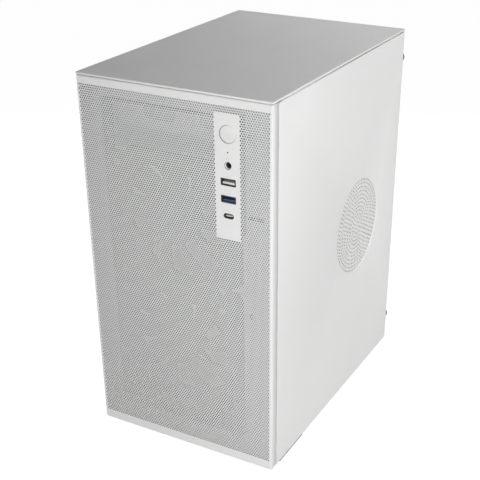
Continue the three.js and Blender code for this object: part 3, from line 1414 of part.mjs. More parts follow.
// Wire guard over the supply's fan: rings on four spokes, under the case.
function supplyFanGuard() {
  const { wire, radius, overhang } = SUPPLY_GUARD;
  const level = SUPPLY_BOTTOM - FIT - wire;
  const rings = SUPPLY_GUARD.rings.map((share) => {
    const ring = new THREE.TorusGeometry(share * radius, wire, 4, 14);
    return solid(ring.translate(SUPPLY_X, SUPPLY_FAN_Y, level));
  });
  const spokes = [Math.PI / 4, -Math.PI / 4].map((angle) => {
    const spoke = new THREE.BoxGeometry(2 * (radius + overhang), 2 * wire, wire);
    spoke.rotateZ(angle);
    return solid(spoke.translate(SUPPLY_X, SUPPLY_FAN_Y, level - wire * 0.4));
  });
  return join(rings, spokes);
}

// Mains inlet: a recess with three flat pins, held in the supply's rear wall by its flange.
function supplyInlet() {
  const { width, height, depth, wall, cheek, chamfer } = INLET;
  const front = SUPPLY_REAR - depth;
  const shell = block(
    INLET_X - width / 2,
    INLET_X + width / 2,
    front,
    FRAME_REAR,
    INLET_Z - height / 2,
    INLET_Z + height / 2,
  );
  const left = INLET_X - width / 2 + wall;
  const right = INLET_X + width / 2 - wall;
  const low = INLET_Z - height / 2 + cheek;
  const high = INLET_Z + height / 2 - cheek;
  const recess = plate(
    "y",
    front + wall,
    FRAME_REAR + CUT,
    polygon([
      [left, low],
      [right, low],
      [right, high - chamfer],
      [right - chamfer, high],
      [left + chamfer, high],
      [left, high - chamfer],
    ]),
  );
  const pins = INLET_PINS.map(([across, up]) =>
    block(
      INLET_X + across - INLET_PIN.width / 2,
      INLET_X + across + INLET_PIN.width / 2,
      front + wall / 2,
      FRAME_REAR - INLET_PIN.setback,
      INLET_Z + up - INLET_PIN.height / 2,
      INLET_Z + up + INLET_PIN.height / 2,
    ),
  );
  return join(cut(shell, recess), pins);
}

// Rocker: a shallow V seen from the side, turning on a pin across its middle. Its pin is at the origin.
function supplySwitch() {
  const half = SWITCH.height / 2;
  const { valley, crest, shoulder, waist, foot, footHalf, edge } = ROCKER;
  const outline = polygon([
    [valley, 0],
    [crest, half - edge],
    [shoulder, half],
    [waist, half],
    [foot, footHalf],
    [foot, -footHalf],
    [waist, -half],
    [shoulder, -half],
    [crest, -half + edge],
  ]);
  return plate("x", -SWITCH.width / 2, SWITCH.width / 2, outline);
}

// ---------------------------------------------------------------- drive
// Hanging cage: a channel under the top sheet with shelves for the drive and open ends.
function driveCage() {
  const rear = CAGE_REAR - CAGE.wall;
  const high = INNER_TOP - FIT;
  const low = DRIVE_LOW - FIT - CAGE.wall;
  const left = DRIVE_LEFT - CAGE.left;
  const right = DRIVE_LEFT + HARD_DRIVE.length - CAGE.right;
  const front = CAGE_FRONT;
  const walls = [
    block(left, right, front, front + CAGE.wall, low, high),
    block(left, right, rear, CAGE_REAR, low, high),
  ];
  const roof = block(left, right, front, CAGE_REAR, high - CAGE.wall, high);
  const shelves = [
    block(left, right, front, front + CAGE.shelf, low, low + CAGE.wall),
    block(left, right, CAGE_REAR - CAGE.shelf, CAGE_REAR, low, low + CAGE.wall),
  ];
  const { shares, width, foot, top, corner } = CAGE_WINDOWS;
  const windows = shares.map((share) => {
    const x = left + (right - left) * share;
    const outline = chamferedRectangle(x - width / 2, x + width / 2, low + foot, high - top, corner);
    return plate("y", front - CUT, CAGE_REAR + CUT, outline);
  });
  return cut(join(walls, roof, shelves), windows);
}

function hardDrive() {
  const right = DRIVE_LEFT + HARD_DRIVE.length;
  const high = DRIVE_LOW + HARD_DRIVE.height;
  const { lid } = HARD_DRIVE;
  const castBody = block(DRIVE_LEFT, right, DRIVE_FRONT, DRIVE_REAR, DRIVE_LOW, high - lid * 0.6);
  const cover = plate(
    "z",
    high - lid,
    high,
    chamferedRectangle(
      DRIVE_LEFT + 2,
      right - DRIVE_SOCKET.depth - 1,
      DRIVE_FRONT + lid,
      DRIVE_REAR - lid,
      5,
    ),
  );
  const socket = block(
    right - DRIVE_SOCKET.depth,
    right + CUT,
    DRIVE_FRONT + DRIVE_SOCKET.from,
    DRIVE_FRONT + DRIVE_SOCKET.to,
    DRIVE_LOW - CUT,
    DRIVE_LOW + DRIVE_SOCKET.height,
  );
  return cut(join(castBody, cover), socket);
}

// ---------------------------------------------------------------- cables, as smooth tubes with their plugs
function tube(points, radius, steps) {
  const path = new THREE.CatmullRomCurve3(points.map((point) => new THREE.Vector3(...point)));
  const section = new THREE.Shape();
  section.absarc(0, 0, radius, 0, 2 * Math.PI);
  const run = new THREE.ExtrudeGeometry(section, { steps, extrudePath: path, curveSegments: 3 });
  return solid(run);
}

function mainPowerCable() {
  const { fromFront, width, low, high, reach, wireRadius } = MAIN_PLUG;
  const y = BOARD_FRONT + fromFront;
  const middle = (low + high) / 2;
  const plug = block(ON_BOARD - reach, ON_BOARD, y - width / 2, y + width / 2, low, high);
  const x = SUPPLY_EXIT.x;
  const z = SUPPLY_EXIT_Z;
  const run = tube(
    [
      [x, SUPPLY_OUT, z],
      [x, SUPPLY_OUT - 14, z],
      [x - 4, SUPPLY_OUT - 34, z - 12],
      [x - 14, y + 4, z - 44],
      [x - 18, y, middle + 26],
      [x - 12, y, middle + 6],
      [ON_BOARD - reach + 2, y, middle],
    ],
    wireRadius,
    18,
  );
  return join(plug, run);
}

function processorPowerCable() {
  const { width, low, high, reach, wireRadius } = PROCESSOR_PLUG;
  const behind = TRAY_X + 11;
  const [entry, outlet] = CABLE_HOLES;
  const { y, z } = outlet;
  const plugFace = ON_BOARD - reach;
  const plug = block(plugFace, ON_BOARD, y - width / 2, y + width / 2, BOARD_TOP - low, BOARD_TOP - high);
  const x = SUPPLY_EXIT.x + 16;
  const run = tube(
    [
      [x, SUPPLY_OUT, SUPPLY_EXIT_Z],
      [x, SUPPLY_OUT - 10, SUPPLY_EXIT_Z],
      [x + 4, SUPPLY_OUT - 24, entry.z],
      [TRAY_X + 4, entry.y, entry.z],
      [behind, entry.y + 12, entry.z - 3],
      [behind, (entry.y + y) / 2, z],
      [behind, y - 16, z],
      [TRAY_X + 5, y - 2, z],
      [ON_BOARD - 2, y, z],
      [plugFace, y, z - 3],
      [plugFace - 7, y, BOARD_TOP - 6],
      [plugFace + 2, y, BOARD_TOP - 9],
    ],
    wireRadius,
    28,
  );
  return join(plug, run);
}

function frontPanelCable() {
  const { fromFront, fromFoot, width, height, reach, wireRadius } = PANEL_PLUG;
  const plugY = BOARD_FRONT + fromFront;
  const plugZ = BOARD.bottom + fromFoot;
  const plugFace = ON_BOARD - reach;
  const plug = block(
    plugFace,
    ON_BOARD,
    plugY - width / 2,
    plugY + width / 2,
    plugZ - height / 2,
    plugZ + height / 2,
  );
  const start = IO_BOARD_FRONT + IO_BOARD_THICKNESS + FIT;
  const run = tube(
    [
      [PORTS_X + 2, start, STRIP_BOTTOM + 12],
      [PORTS_X + 2, start + 4, STRIP_BOTTOM + 12],
      [PORTS_X + 2, start + 10, STRIP_BOTTOM + 7],
      [PORTS_X + 2, start + 14, STRIP_BOTTOM - 8],
      [PORTS_X + 2, start + 14, 150],
      [PORTS_X + 2, start + 16, 60],
      [PORTS_X, start + 26, plugZ + 8],
      [plugFace - 12, plugY - 14, plugZ],
      [plugFace - 12, plugY - 2, plugZ],
      [plugFace + 2, plugY, plugZ],
    ],
    wireRadius,
    22,
  );
  return join(plug, run);
}

// ---------------------------------------------------------------- the tower
piece("top_cover", topCover(), FINISH.whitePaint);
piece("front_panel", frontPanel(), FINISH.whitePaint);
const rightSide = sidePanel();
piece("right_side_panel", rightSide, FINISH.whitePaint);
piece("left_side_panel", rightSide.mirror([1, 0, 0]), FINISH.whitePaint);
piece("base_pan", basePan(), FINISH.whitePaint);
piece("top_frame", topFrame(), FINISH.whitePaint);
piece("chassis_front", chassisFront(), FINISH.whitePaint);
piece("chassis_rear", chassisRear(), FINISH.whitePaint);
piece("slot_access_plate", slotAccessPlate(), FINISH.whitePaint);
piece("motherboard_tray", motherboardTray(), FINISH.whitePaint);
piece("drive_cage", driveCage(), FINISH.whitePaint);

for (const [place, size] of [
  ["front", FRONT_FOOT],
  ["rear", REAR_FOOT],
]) {
  for (const [sideName, side] of [
    ["left", -1],
    ["right", 1],
  ]) {
    const mesh = piece("foot_" + place + "_" + sideName, foot(size), FINISH.blackRubber);
    mesh.position.set(side * (HALF_WIDTH - size.inset - size.width / 2), size.y, -FOOT_HEIGHT);
  }
}

for (const [sideName, side] of [
  ["left", -1],
  ["right", 1],
]) {
  THUMBSCREW_HEIGHTS.forEach((z, index) => {
    const level = index === 0 ? "lower" : "upper";
    const mesh = piece("thumbscrew_" + sideName + "_" + level, thumbscrew(), FINISH.blackSteel);
    mesh.position.set(side * THUMBSCREW_X, CASE_DEPTH + FIT, z);
    mesh.rotation.x = -Math.PI / 2;
  });
}

piece("io_bracket", ioBracket(), FINISH.blackPlastic);
piece("io_board", ioBoard(), FINISH.boardLacquer);
const button = piece("power_button", powerButton(), FINISH.whitePlastic);
button.position.set(PORTS_X, BUTTON_FACE, BUTTON_Z);
button.rotation.x = -Math.PI / 2;
piece("power_switch", powerSwitch(), FINISH.blackPlastic);
piece("power_led", powerLed(), FINISH.clearPlastic);
piece("audio_jack", audioJack(), FINISH.blackPlastic);
piece("usb2_port", usbSocket(USB2_Z), FINISH.blackPlastic);
piece("usb3_port", usbSocket(USB3_Z), FINISH.bluePlastic);
piece("usbc_port", usbTypeC(), FINISH.nickel);

piece("fan_bracket", fanBracket(), FINISH.blackSteel);
const FRONT_FAN_NAMES = ["front_fan_lower", "front_fan_upper"];
FRONT_FAN_HEIGHTS.forEach((z, index) => {
  placeFan(FRONT_FAN_NAMES[index], FRONT_FAN, [FRONT_FAN_X, FRONT_FAN_BACK, z], [Math.PI / 2, 0, 0]);
});
placeFan("rear_fan", REAR_FAN, [REAR_FAN_X, INNER_REAR - FIT, REAR_FAN_Z], [Math.PI / 2, 0, 0]);

piece("motherboard", motherboard(), FINISH.boardLacquer);
piece("io_shield", ioShield(), FINISH.bareSteel);
piece("rear_usb_ports", rearUsbPorts(), FINISH.nickel);
piece("rear_video_ports", rearVideoPorts(), FINISH.nickel);
piece("rear_audio_jacks", rearAudioJacks(), FINISH.blackPlastic);
piece("processor", processor(), FINISH.nickel);
const coolerFoot = ON_BOARD - SOCKET.height - FIT;
const heatsink = piece("cooler_heatsink", coolerHeatsink(), FINISH.aluminium);
heatsink.position.set(coolerFoot, VENT_Y, VENT_Z);
heatsink.rotation.y = -Math.PI / 2;
const coolerFanFoot = coolerFoot - COOLER.height - FIT;
placeFan(
  "cooler_fan",
  COOLER_FAN,
  [coolerFanFoot, VENT_Y, VENT_Z],
  [0, -Math.PI / 2, 0],
  coolerFanFrame(ON_BOARD - coolerFanFoot),
);
MEMORY_PLACES.forEach((y, index) => {
  piece("memory_slot_" + (index + 1), memorySlot(y), FINISH.blackPlastic);
  piece("memory_module_" + (index + 1), memoryModule(y), FINISH.blackSteel);
});
piece("graphics_slot", graphicsSlot(), FINISH.blackPlastic);
piece("chipset_heatsink", chipsetHeatsink(), FINISH.aluminium);

piece("psu_case", supplyCase(), FINISH.blackSteel);
placeFan(
  "psu_fan",
  SUPPLY_FAN,
  [SUPPLY_X, SUPPLY_FAN_Y, SUPPLY_BOTTOM + SUPPLY.wall + FIT + SUPPLY_FAN.depth],
  [Math.PI, 0, 0],
);
piece("psu_fan_guard", supplyFanGuard(), FINISH.nickel);
piece("psu_inlet", supplyInlet(), FINISH.blackPlastic);
const rocker = piece("psu_switch", supplySwitch(), FINISH.blackPlastic);
rocker.position.set(INLET_X, SUPPLY_REAR - SWITCH.pivot, SWITCH_Z);
rocker.rotation.x = THREE.MathUtils.degToRad(SWITCH.tilt);
piece("hard_drive", hardDrive(), FINISH.aluminium);
piece("main_power_cable", mainPowerCable(), FINISH.cableSleeve);
piece("processor_power_cable", processorPowerCable(), FINISH.cableSleeve);
piece("front_panel_cable", frontPanelCable(), FINISH.cableSleeve);

export default tower;
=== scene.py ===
"""A compact desktop computer tower: painted steel covers, perforated front, and the machine inside it."""

import math

import bmesh
import bpy
from mathutils import Matrix, Vector


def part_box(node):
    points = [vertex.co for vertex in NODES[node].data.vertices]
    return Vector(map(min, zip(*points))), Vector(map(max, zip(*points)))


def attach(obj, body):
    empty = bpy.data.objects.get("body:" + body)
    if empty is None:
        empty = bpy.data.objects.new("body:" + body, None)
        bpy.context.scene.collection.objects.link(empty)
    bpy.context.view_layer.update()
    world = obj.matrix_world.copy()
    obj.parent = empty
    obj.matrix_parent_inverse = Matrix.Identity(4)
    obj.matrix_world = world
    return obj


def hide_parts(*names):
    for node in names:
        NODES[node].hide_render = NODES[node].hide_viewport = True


bl_info = {
    "name": "Desktop Computer Tower",
    "version": (1, 0, 0),
    "blender": (4, 5, 0),
    "location": "View3D > Sidebar > Tower",
    "description": "Builds the detailed pieces of a small computer tower round its packed solids",
    "category": "Object",
}

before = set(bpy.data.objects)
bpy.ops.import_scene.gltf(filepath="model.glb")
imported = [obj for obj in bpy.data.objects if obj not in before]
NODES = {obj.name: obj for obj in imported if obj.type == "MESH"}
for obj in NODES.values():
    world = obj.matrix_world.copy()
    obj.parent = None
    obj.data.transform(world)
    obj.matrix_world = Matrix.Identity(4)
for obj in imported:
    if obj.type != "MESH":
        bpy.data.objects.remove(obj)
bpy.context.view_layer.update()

MM = 0.001
FRONT_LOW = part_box("front_panel")[0]
# Pieces are shaped in millimetres from the middle of the body's lower front edge: the front lies at
# y = 0, and z = 0 is the body's underside. CASE_TO_ROW carries them into the row's frame.
CASE_TO_ROW = Matrix.Translation((0, FRONT_LOW.y, FRONT_LOW.z)) @ Matrix.Scale(MM, 4)
ROW_TO_CASE = CASE_TO_ROW.inverted()

AXIS_TURNS = {
    "x": Matrix(((0, 0, 1, 0), (1, 0, 0, 0), (0, 1, 0, 0), (0, 0, 0, 1))),
    "y": Matrix(((1, 0, 0, 0), (0, 0, -1, 0), (0, 1, 0, 0), (0, 0, 0, 1))),
    "z": Matrix.Identity(4),
}
# Places this close, in millimetres, are one.
NEAR = 0.01


def case_box(node):
    """Lowest and highest corner of a carried-over node, in case millimetres."""
    low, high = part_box(node)
    return ROW_TO_CASE @ low, ROW_TO_CASE @ high


def middle_of(node):
    """Middle of a carried-over node's box, in case millimetres."""
    low, high = case_box(node)
    return (low + high) / 2


# ---------------------------------------------------------------- settings
def color_setting(name, description, default):
    """Colour property."""
    return bpy.props.FloatVectorProperty(
        name=name, description=description, subtype="COLOR", size=3, min=0, max=1, default=default
    )


def length_setting(name, description, default, **limits):
    """Length property. Its default and limits are given in millimetres."""
    limits = {limit: value * MM for limit, value in limits.items()}
    return bpy.props.FloatProperty(
        name=name, description=description, default=default * MM, unit="LENGTH", precision=5, **limits
    )


def power_setting(name, description, default):
    """Property for a lamp's power."""
    return bpy.props.FloatProperty(
        name=name, description=description, default=default, min=0, subtype="POWER"
    )


class TowerFinish(bpy.types.PropertyGroup):
    """Colours of the tower's finishes."""

    paint: color_setting("Paint", "White powder coat of the covers and chassis", (0.79, 0.79, 0.785))
    moulding_and_recess_shade: color_setting(
        "Mouldings", "Black moulded plastic of fans, sockets and slots", (0.018, 0.018, 0.02)
    )
    board: color_setting("Board", "Lacquer of the circuit boards", (0.008, 0.011, 0.013))
    tongue: color_setting("Fast socket", "Tongue of the faster USB socket", (0.018, 0.055, 0.145))


class TowerFront(bpy.types.PropertyGroup):
    """Sizes of the front cover and its controls."""

    pitch: length_setting("Hole pitch", "Distance between two holes of one row", 2.27, min=1, max=20)
    web: length_setting("Web", "Metal left between two holes", 0.84, min=0.2, max=10)
    strip_left: length_setting(
        "Strip left", "Left edge of the plain strip, from the middle of the case", 41.7
    )
    strip_right: length_setting("Strip right", "Right edge of the plain strip", 65.4)
    strip_bottom: length_setting(
        "Strip bottom", "Lower end of the plain strip, above the body's underside", 230.7
    )
    strip_top: length_setting("Strip top", "Upper end of the plain strip", 340.1)


class TowerSides(bpy.types.PropertyGroup):
    """Sizes of the side covers' round vent."""

    vent_y: length_setting("Vent depth place", "Middle of the vent, behind the front", 185)
    vent_z: length_setting("Vent height", "Middle of the vent, above the body's underside", 179.5)
    vent_radius: length_setting("Vent radius", "Outer radius of the pressed round", 49.5)
    rings: bpy.props.IntProperty(
        name="Rings", description="Rings of holes in the vent", default=12, min=2, max=20,
    )
    hole: length_setting("Hole", "Width of one vent hole", 1.7)


class TowerStage(bpy.types.PropertyGroup):
    """Light and camera."""

    right_light: power_setting("Right lamp", "Power of the soft lamp beside the right-hand cover", 2.6)
    front_light: power_setting("Front lamp", "Power of the soft lamp before the front cover", 6.15)
    high_light: power_setting("High lamp", "Power of the soft lamp over the top", 0.98)
    back_light: power_setting("Back lamp", "Power of the low lamps behind the case and at its left", 3.5)
    sky: bpy.props.FloatProperty(
        name="Sky", description="Strength of the even light from all round", default=0.08, min=0,
    )
    lens: bpy.props.FloatProperty(
        name="Lens", description="Focal length on a 36 mm wide sensor",
        default=72.87, min=10, max=300, unit="CAMERA",
    )


# ---------------------------------------------------------------- shaping helpers
def laid(axis, x, y, z):
    """Matrix that lays a shape drawn in X and Y flat across an axis, its top facing +X, -Y or +Z."""
    return Matrix.Translation((x, y, z)) @ AXIS_TURNS[axis]


def along(axis, x, y, z):
    """Matrix that stands a shape up along +X, +Y or +Z."""
    turn = AXIS_TURNS[axis] @ Matrix.Rotation(math.pi, 4, "X") if axis == "y" else AXIS_TURNS[axis]
    return Matrix.Translation((x, y, z)) @ turn


def grow(verts):
    """All vertices joined to these."""
    found = set(verts)
    fresh = list(verts)
    while fresh:
        vert = fresh.pop()
        for edge in vert.link_edges:
            other = edge.other_vert(vert)
            if other not in found:
                found.add(other)
                fresh.append(other)
    return list(found)


def edges_of(verts):
    """Edges that touch these vertices."""
    return list({edge for vert in verts for edge in vert.link_edges})


def edges_between(verts):
    """Edges with both ends among these vertices."""
    return [edge for edge in edges_of(verts) if all(vert in verts for vert in edge.verts)]


def faces_of(verts):
    """Faces that touch these vertices."""
    return list({face for vert in verts for face in vert.link_faces})


def only(geom, kind):
    """The vertices, edges or faces among mixed geometry."""
    return [item for item in geom if isinstance(item, kind)]


def soften(mesh, edges, radius, segments=2):
    """Rounds edges."""
    return bmesh.ops.bevel(
        mesh, geom=edges, offset=radius, segments=segments, affect="EDGES", profile=0.5, material=-1,
        clamp_overlap=True,
    )


def add_block(mesh, low, high, bevel=0.0, segments=2, place=None):
    """Box between two corners, its edges rounded, carried to a place if one is given."""
    low, high = Vector(low), Vector(high)
    spot = (place or Matrix.Identity(4)) @ Matrix.Translation((low + high) / 2)
    made = bmesh.ops.create_cube(mesh, size=1, matrix=spot @ Matrix.Diagonal((*(high - low), 1)))
    if bevel:
        soften(mesh, edges_of(made["verts"]), bevel, segments)


def add_rod(mesh, place, radius, length, sides):
    """Round bar that stands on a place's middle and runs up its +Z."""
    bmesh.ops.create_cone(
        mesh, cap_ends=True, segments=sides, radius1=radius, radius2=radius, depth=length,
        matrix=place @ Matrix.Translation((0, 0, length / 2)),
    )


def add_lathe(mesh, profile, sides, place):
    """[radius, height] profile spun about +Z, then placed."""
    verts = [mesh.verts.new((radius, 0, height)) for radius, height in profile]
    edges = [mesh.edges.new(pair) for pair in zip(verts, verts[1:])]
    bmesh.ops.spin(
        mesh, geom=verts + edges, cent=(0, 0, 0), axis=(0, 0, 1), angle=2 * math.pi,
        steps=sides, use_merge=True, use_duplicate=False,
    )
    spun = grow([vert for vert in verts if vert.is_valid])
    bmesh.ops.remove_doubles(mesh, verts=spun, dist=1e-4)
    spun = [vert for vert in spun if vert.is_valid]
    bmesh.ops.recalc_face_normals(mesh, faces=faces_of(spun))
    bmesh.ops.transform(mesh, matrix=place, verts=spun)


def add_ring(mesh, place, radius, thickness, sides=32, section=8):
    """Round wire bent into a ring about +Z."""
    circle = [
        (radius + thickness * math.cos(2 * math.pi * index / section),
         thickness * math.sin(2 * math.pi * index / section))
        for index in range(section + 1)
    ]
    add_lathe(mesh, circle, sides, place)


def add_ring_edges(mesh, place, radius, sides, x, y, turn=0.0, stretch=(1, 1)):
    """Closed loop of edges, drawn in X and Y about (x, y)."""
    spot = (
        place
        @ Matrix.Translation((x, y, 0))
        @ Matrix.Diagonal((stretch[0], stretch[1], 1, 1))
        @ Matrix.Rotation(turn, 4, "Z")
    )
    made = bmesh.ops.create_circle(mesh, cap_ends=False, segments=sides, radius=radius, matrix=spot)
    return edges_of(made["verts"])


def add_box_edges(mesh, place, x0, x1, y0, y1, corner=0.0, segments=4):
    """Closed rectangular loop of edges, its corners rounded."""
    middle = Matrix.Translation(((x0 + x1) / 2, (y0 + y1) / 2, 0))
    spot = place @ middle @ Matrix.Diagonal(((x1 - x0) / 2, (y1 - y0) / 2, 1, 1))
    verts = bmesh.ops.create_grid(mesh, x_segments=1, y_segments=1, size=1, matrix=spot)["verts"]
    if corner:
        verts = bmesh.ops.bevel(
            mesh, geom=verts, offset=corner, segments=segments, affect="VERTICES", profile=0.5,
            material=-1, clamp_overlap=True,
        )["verts"]
    loop = grow(verts)
    bmesh.ops.delete(mesh, geom=faces_of(loop), context="FACES_ONLY")
    return edges_of(loop)


def fill_sheet(mesh, edges, facing):
    """Fills the flat area between nested loops and points it one way."""
    made = bmesh.ops.triangle_fill(mesh, use_beauty=True, use_dissolve=False, edges=edges)
    faces = only(made["geom"], bmesh.types.BMFace)
    if not faces:
        raise RuntimeError("a sheet could not be filled between its loops")
    mesh.normal_update()
    wrong = [face for face in faces if face.normal.dot(Vector(facing)) < 0]
    bmesh.ops.reverse_faces(mesh, faces=wrong)
    return faces


def add_plate(mesh, edges, facing, thickness):
    """Solid plate between nested loops. It grows along facing."""
    faces = fill_sheet(mesh, edges, facing)
    grown = bmesh.ops.extrude_face_region(mesh, geom=faces, use_keep_orig=True)["geom"]
    verts = only(grown, bmesh.types.BMVert)
    bmesh.ops.translate(mesh, vec=Vector(facing) * thickness, verts=verts)
    bmesh.ops.recalc_face_normals(mesh, faces=faces_of(grow(verts)))


def add_screw_head(mesh, place, radius, height):
    """Domed screw head that stands up from a place."""
    profile = [
        (0, 0), (radius, 0), (radius, 0.2 * height), (0.93 * radius, 0.55 * height),
        (0.7 * radius, 0.88 * height), (0.35 * radius, height), (0, height),
    ]
    add_lathe(mesh, profile, 24, place)


def add_cross(mesh, place, radius, height):
    """Cross recess of a screw head, shown as painted shade: a dark cross just over its crown."""
    for wide, tall in ((0.5, 0.11), (0.11, 0.5)):
        low = (-wide * radius, -tall * radius, 0.5 * height)
        high = (wide * radius, tall * radius, 1.02 * height)
        add_block(mesh, low, high, place=place)


def face_out(mesh, facing, axis):
    """Makes an open sheet's normals agree, and its broad face along an axis look one way."""
    bmesh.ops.recalc_face_normals(mesh, faces=mesh.faces)
    mesh.normal_update()
    broad = max(mesh.faces, key=lambda face: face.calc_area() * abs(face.normal[axis]))
    if broad.normal[axis] * facing < 0:
        bmesh.ops.reverse_faces(mesh, faces=mesh.faces)


def face_front(mesh):
    """Turns every face of a flat sheet to the front."""
    mesh.normal_update()
    bmesh.ops.reverse_faces(mesh, faces=[face for face in mesh.faces if face.normal.y > 0])


def add_fold(mesh, rim, along_vector, shorten=None):
    """Flange drawn out of a sheet's rim. shorten pulls its far corners in along an axis."""
    grown = bmesh.ops.extrude_edge_only(mesh, edges=rim)["geom"]
    far = only(grown, bmesh.types.BMVert)
    bmesh.ops.translate(mesh, vec=along_vector, verts=far)
    if shorten:
        axis, amount = shorten
        middle = sum(vert.co[axis] for vert in far) / len(far)
        for vert in far:
            vert.co[axis] -= math.copysign(amount, vert.co[axis] - middle)
    return far


def finish_piece(name, mesh, body, material, replaces=(), wall=0.0, smooth=30, wall_edge=None):
    """Turns a shape in case millimetres into a piece in the row's frame.

    wall gives a sheet its thickness, and wall_edge is the material of its cut edges, there the darker grey of
    painted shade on the walls of holes. Edges that turn by more than smooth degrees stay sharp.
    """
    bmesh.ops.transform(mesh, matrix=CASE_TO_ROW, verts=mesh.verts)
    data = bpy.data.meshes.new(name)
    mesh.to_mesh(data)
    mesh.free()
    piece = bpy.data.objects.new(name, data)
    bpy.context.scene.collection.objects.link(piece)
    if smooth:
        data.shade_smooth()
        data.set_sharp_from_angle(angle=math.radians(smooth))
    data.materials.append(MATERIALS[material])
    if wall:
        sheet = piece.modifiers.new("Wall", "SOLIDIFY")
        sheet.thickness = wall * MM
        sheet.offset = -1
        sheet.use_even_offset = True
        if wall_edge:
            data.materials.append(MATERIALS[wall_edge])
            sheet.material_offset_rim = 1
    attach(piece, body)
    if replaces:
        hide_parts(*replaces)


# ---------------------------------------------------------------- shader groups and materials
def group(name, inputs, outputs):
    """New node group with named sockets, and its nodes and links."""
    made = bpy.data.node_groups.new(name, "ShaderNodeTree")
    for label, kind, value in inputs:
        socket = made.interface.new_socket(label, in_out="INPUT", socket_type=kind)
        if value is not None:
            socket.default_value = value
    for label, kind in outputs:
        made.interface.new_socket(label, in_out="OUTPUT", socket_type=kind)
    return made, made.nodes.new("NodeGroupInput"), made.nodes.new("NodeGroupOutput")


def noise(tree, vector, scale, detail=2.0, roughness=0.5):
    """Noise texture on a vector."""
    node = tree.nodes.new("ShaderNodeTexNoise")
    node.inputs["Scale"].default_value = scale
    node.inputs["Detail"].default_value = detail
    node.inputs["Roughness"].default_value = roughness
    tree.links.new(vector, node.inputs["Vector"])
    return node.outputs["Fac"]


def remap(tree, value, low, high, from_low=0.0, from_high=1.0):
    """Value carried from one range to another."""
    node = tree.nodes.new("ShaderNodeMapRange")
    node.inputs["From Min"].default_value = from_low
    node.inputs["From Max"].default_value = from_high
    node.inputs["To Min"].default_value = low
    node.inputs["To Max"].default_value = high
    tree.links.new(value, node.inputs["Value"])
    return node.outputs["Result"]


def calculate(tree, operation, first, second=None):
    """Math node on one or two values."""
    node = tree.nodes.new("ShaderNodeMath")
    node.operation = operation
    for index, value in enumerate([first, second]):
        if value is None:
            continue
        if isinstance(value, (int, float)):
            node.inputs[index].default_value = value
        else:
            tree.links.new(value, node.inputs[index])
    return node.outputs[0]


def tint(tree, color, amount):
    """Colour lightened or darkened by an amount about 1."""
    node = tree.nodes.new("ShaderNodeVectorMath")
    node.operation = "SCALE"
    tree.links.new(color, node.inputs[0])
    tree.links.new(amount, node.inputs["Scale"])
    return node.outputs["Vector"]


def coated_steel_group():
    """Powder coat: a fine pebbled skin, faint clouding, and a little dust in the dull patches."""
    tree, start, end = group(
        "Powder coat",
        [
            ("Vector", "NodeSocketVector", None),
            ("Color", "NodeSocketColor", (0.8, 0.8, 0.8, 1)),
            ("Roughness", "NodeSocketFloat", 0.42),
            ("Pebble size", "NodeSocketFloat", 2200.0),
        ],
        [("Color", "NodeSocketColor"), ("Roughness", "NodeSocketFloat"), ("Height", "NodeSocketFloat")],
    )
    vector = start.outputs["Vector"]
    cloud = noise(tree, vector, 9.0, 3.0)
    shade = remap(tree, cloud, 0.985, 1.012, 0.3, 0.7)
    speck = noise(tree, vector, 900.0, 1.0)
    tone = calculate(tree, "MULTIPLY", shade, remap(tree, speck, 0.985, 1.01, 0.35, 0.65))
    tree.links.new(tint(tree, start.outputs["Color"], tone), end.inputs["Color"])
    dull = remap(tree, noise(tree, vector, 30.0, 2.0), -0.03, 0.05, 0.3, 0.7)
    tree.links.new(calculate(tree, "ADD", start.outputs["Roughness"], dull), end.inputs["Roughness"])
    cells = tree.nodes.new("ShaderNodeTexVoronoi")
    cells.feature = "SMOOTH_F1"
    tree.links.new(vector, cells.inputs["Vector"])
    tree.links.new(start.outputs["Pebble size"], cells.inputs["Scale"])
    tree.links.new(cells.outputs["Distance"], end.inputs["Height"])
    return tree


def moulded_grain_group():
    """Moulded plastic: spark-eroded grain with flow clouding."""
    tree, start, end = group(
        "Moulded grain",
        [
            ("Vector", "NodeSocketVector", None),
            ("Color", "NodeSocketColor", (0.02, 0.02, 0.02, 1)),
            ("Roughness", "NodeSocketFloat", 0.5),
            ("Grain size", "NodeSocketFloat", 1500.0),
        ],
        [("Color", "NodeSocketColor"), ("Roughness", "NodeSocketFloat"), ("Height", "NodeSocketFloat")],
    )
    vector = start.outputs["Vector"]
    flow = remap(tree, noise(tree, vector, 25.0, 2.0), 0.9, 1.12, 0.3, 0.7)
    tree.links.new(tint(tree, start.outputs["Color"], flow), end.inputs["Color"])
    dull = remap(tree, noise(tree, vector, 120.0, 3.0), -0.06, 0.08, 0.3, 0.7)
    tree.links.new(calculate(tree, "ADD", start.outputs["Roughness"], dull), end.inputs["Roughness"])
    grain = tree.nodes.new("ShaderNodeTexNoise")
    grain.inputs["Detail"].default_value = 4.0
    tree.links.new(vector, grain.inputs["Vector"])
    tree.links.new(start.outputs["Grain size"], grain.inputs["Scale"])
    tree.links.new(grain.outputs["Fac"], end.inputs["Height"])
    return tree


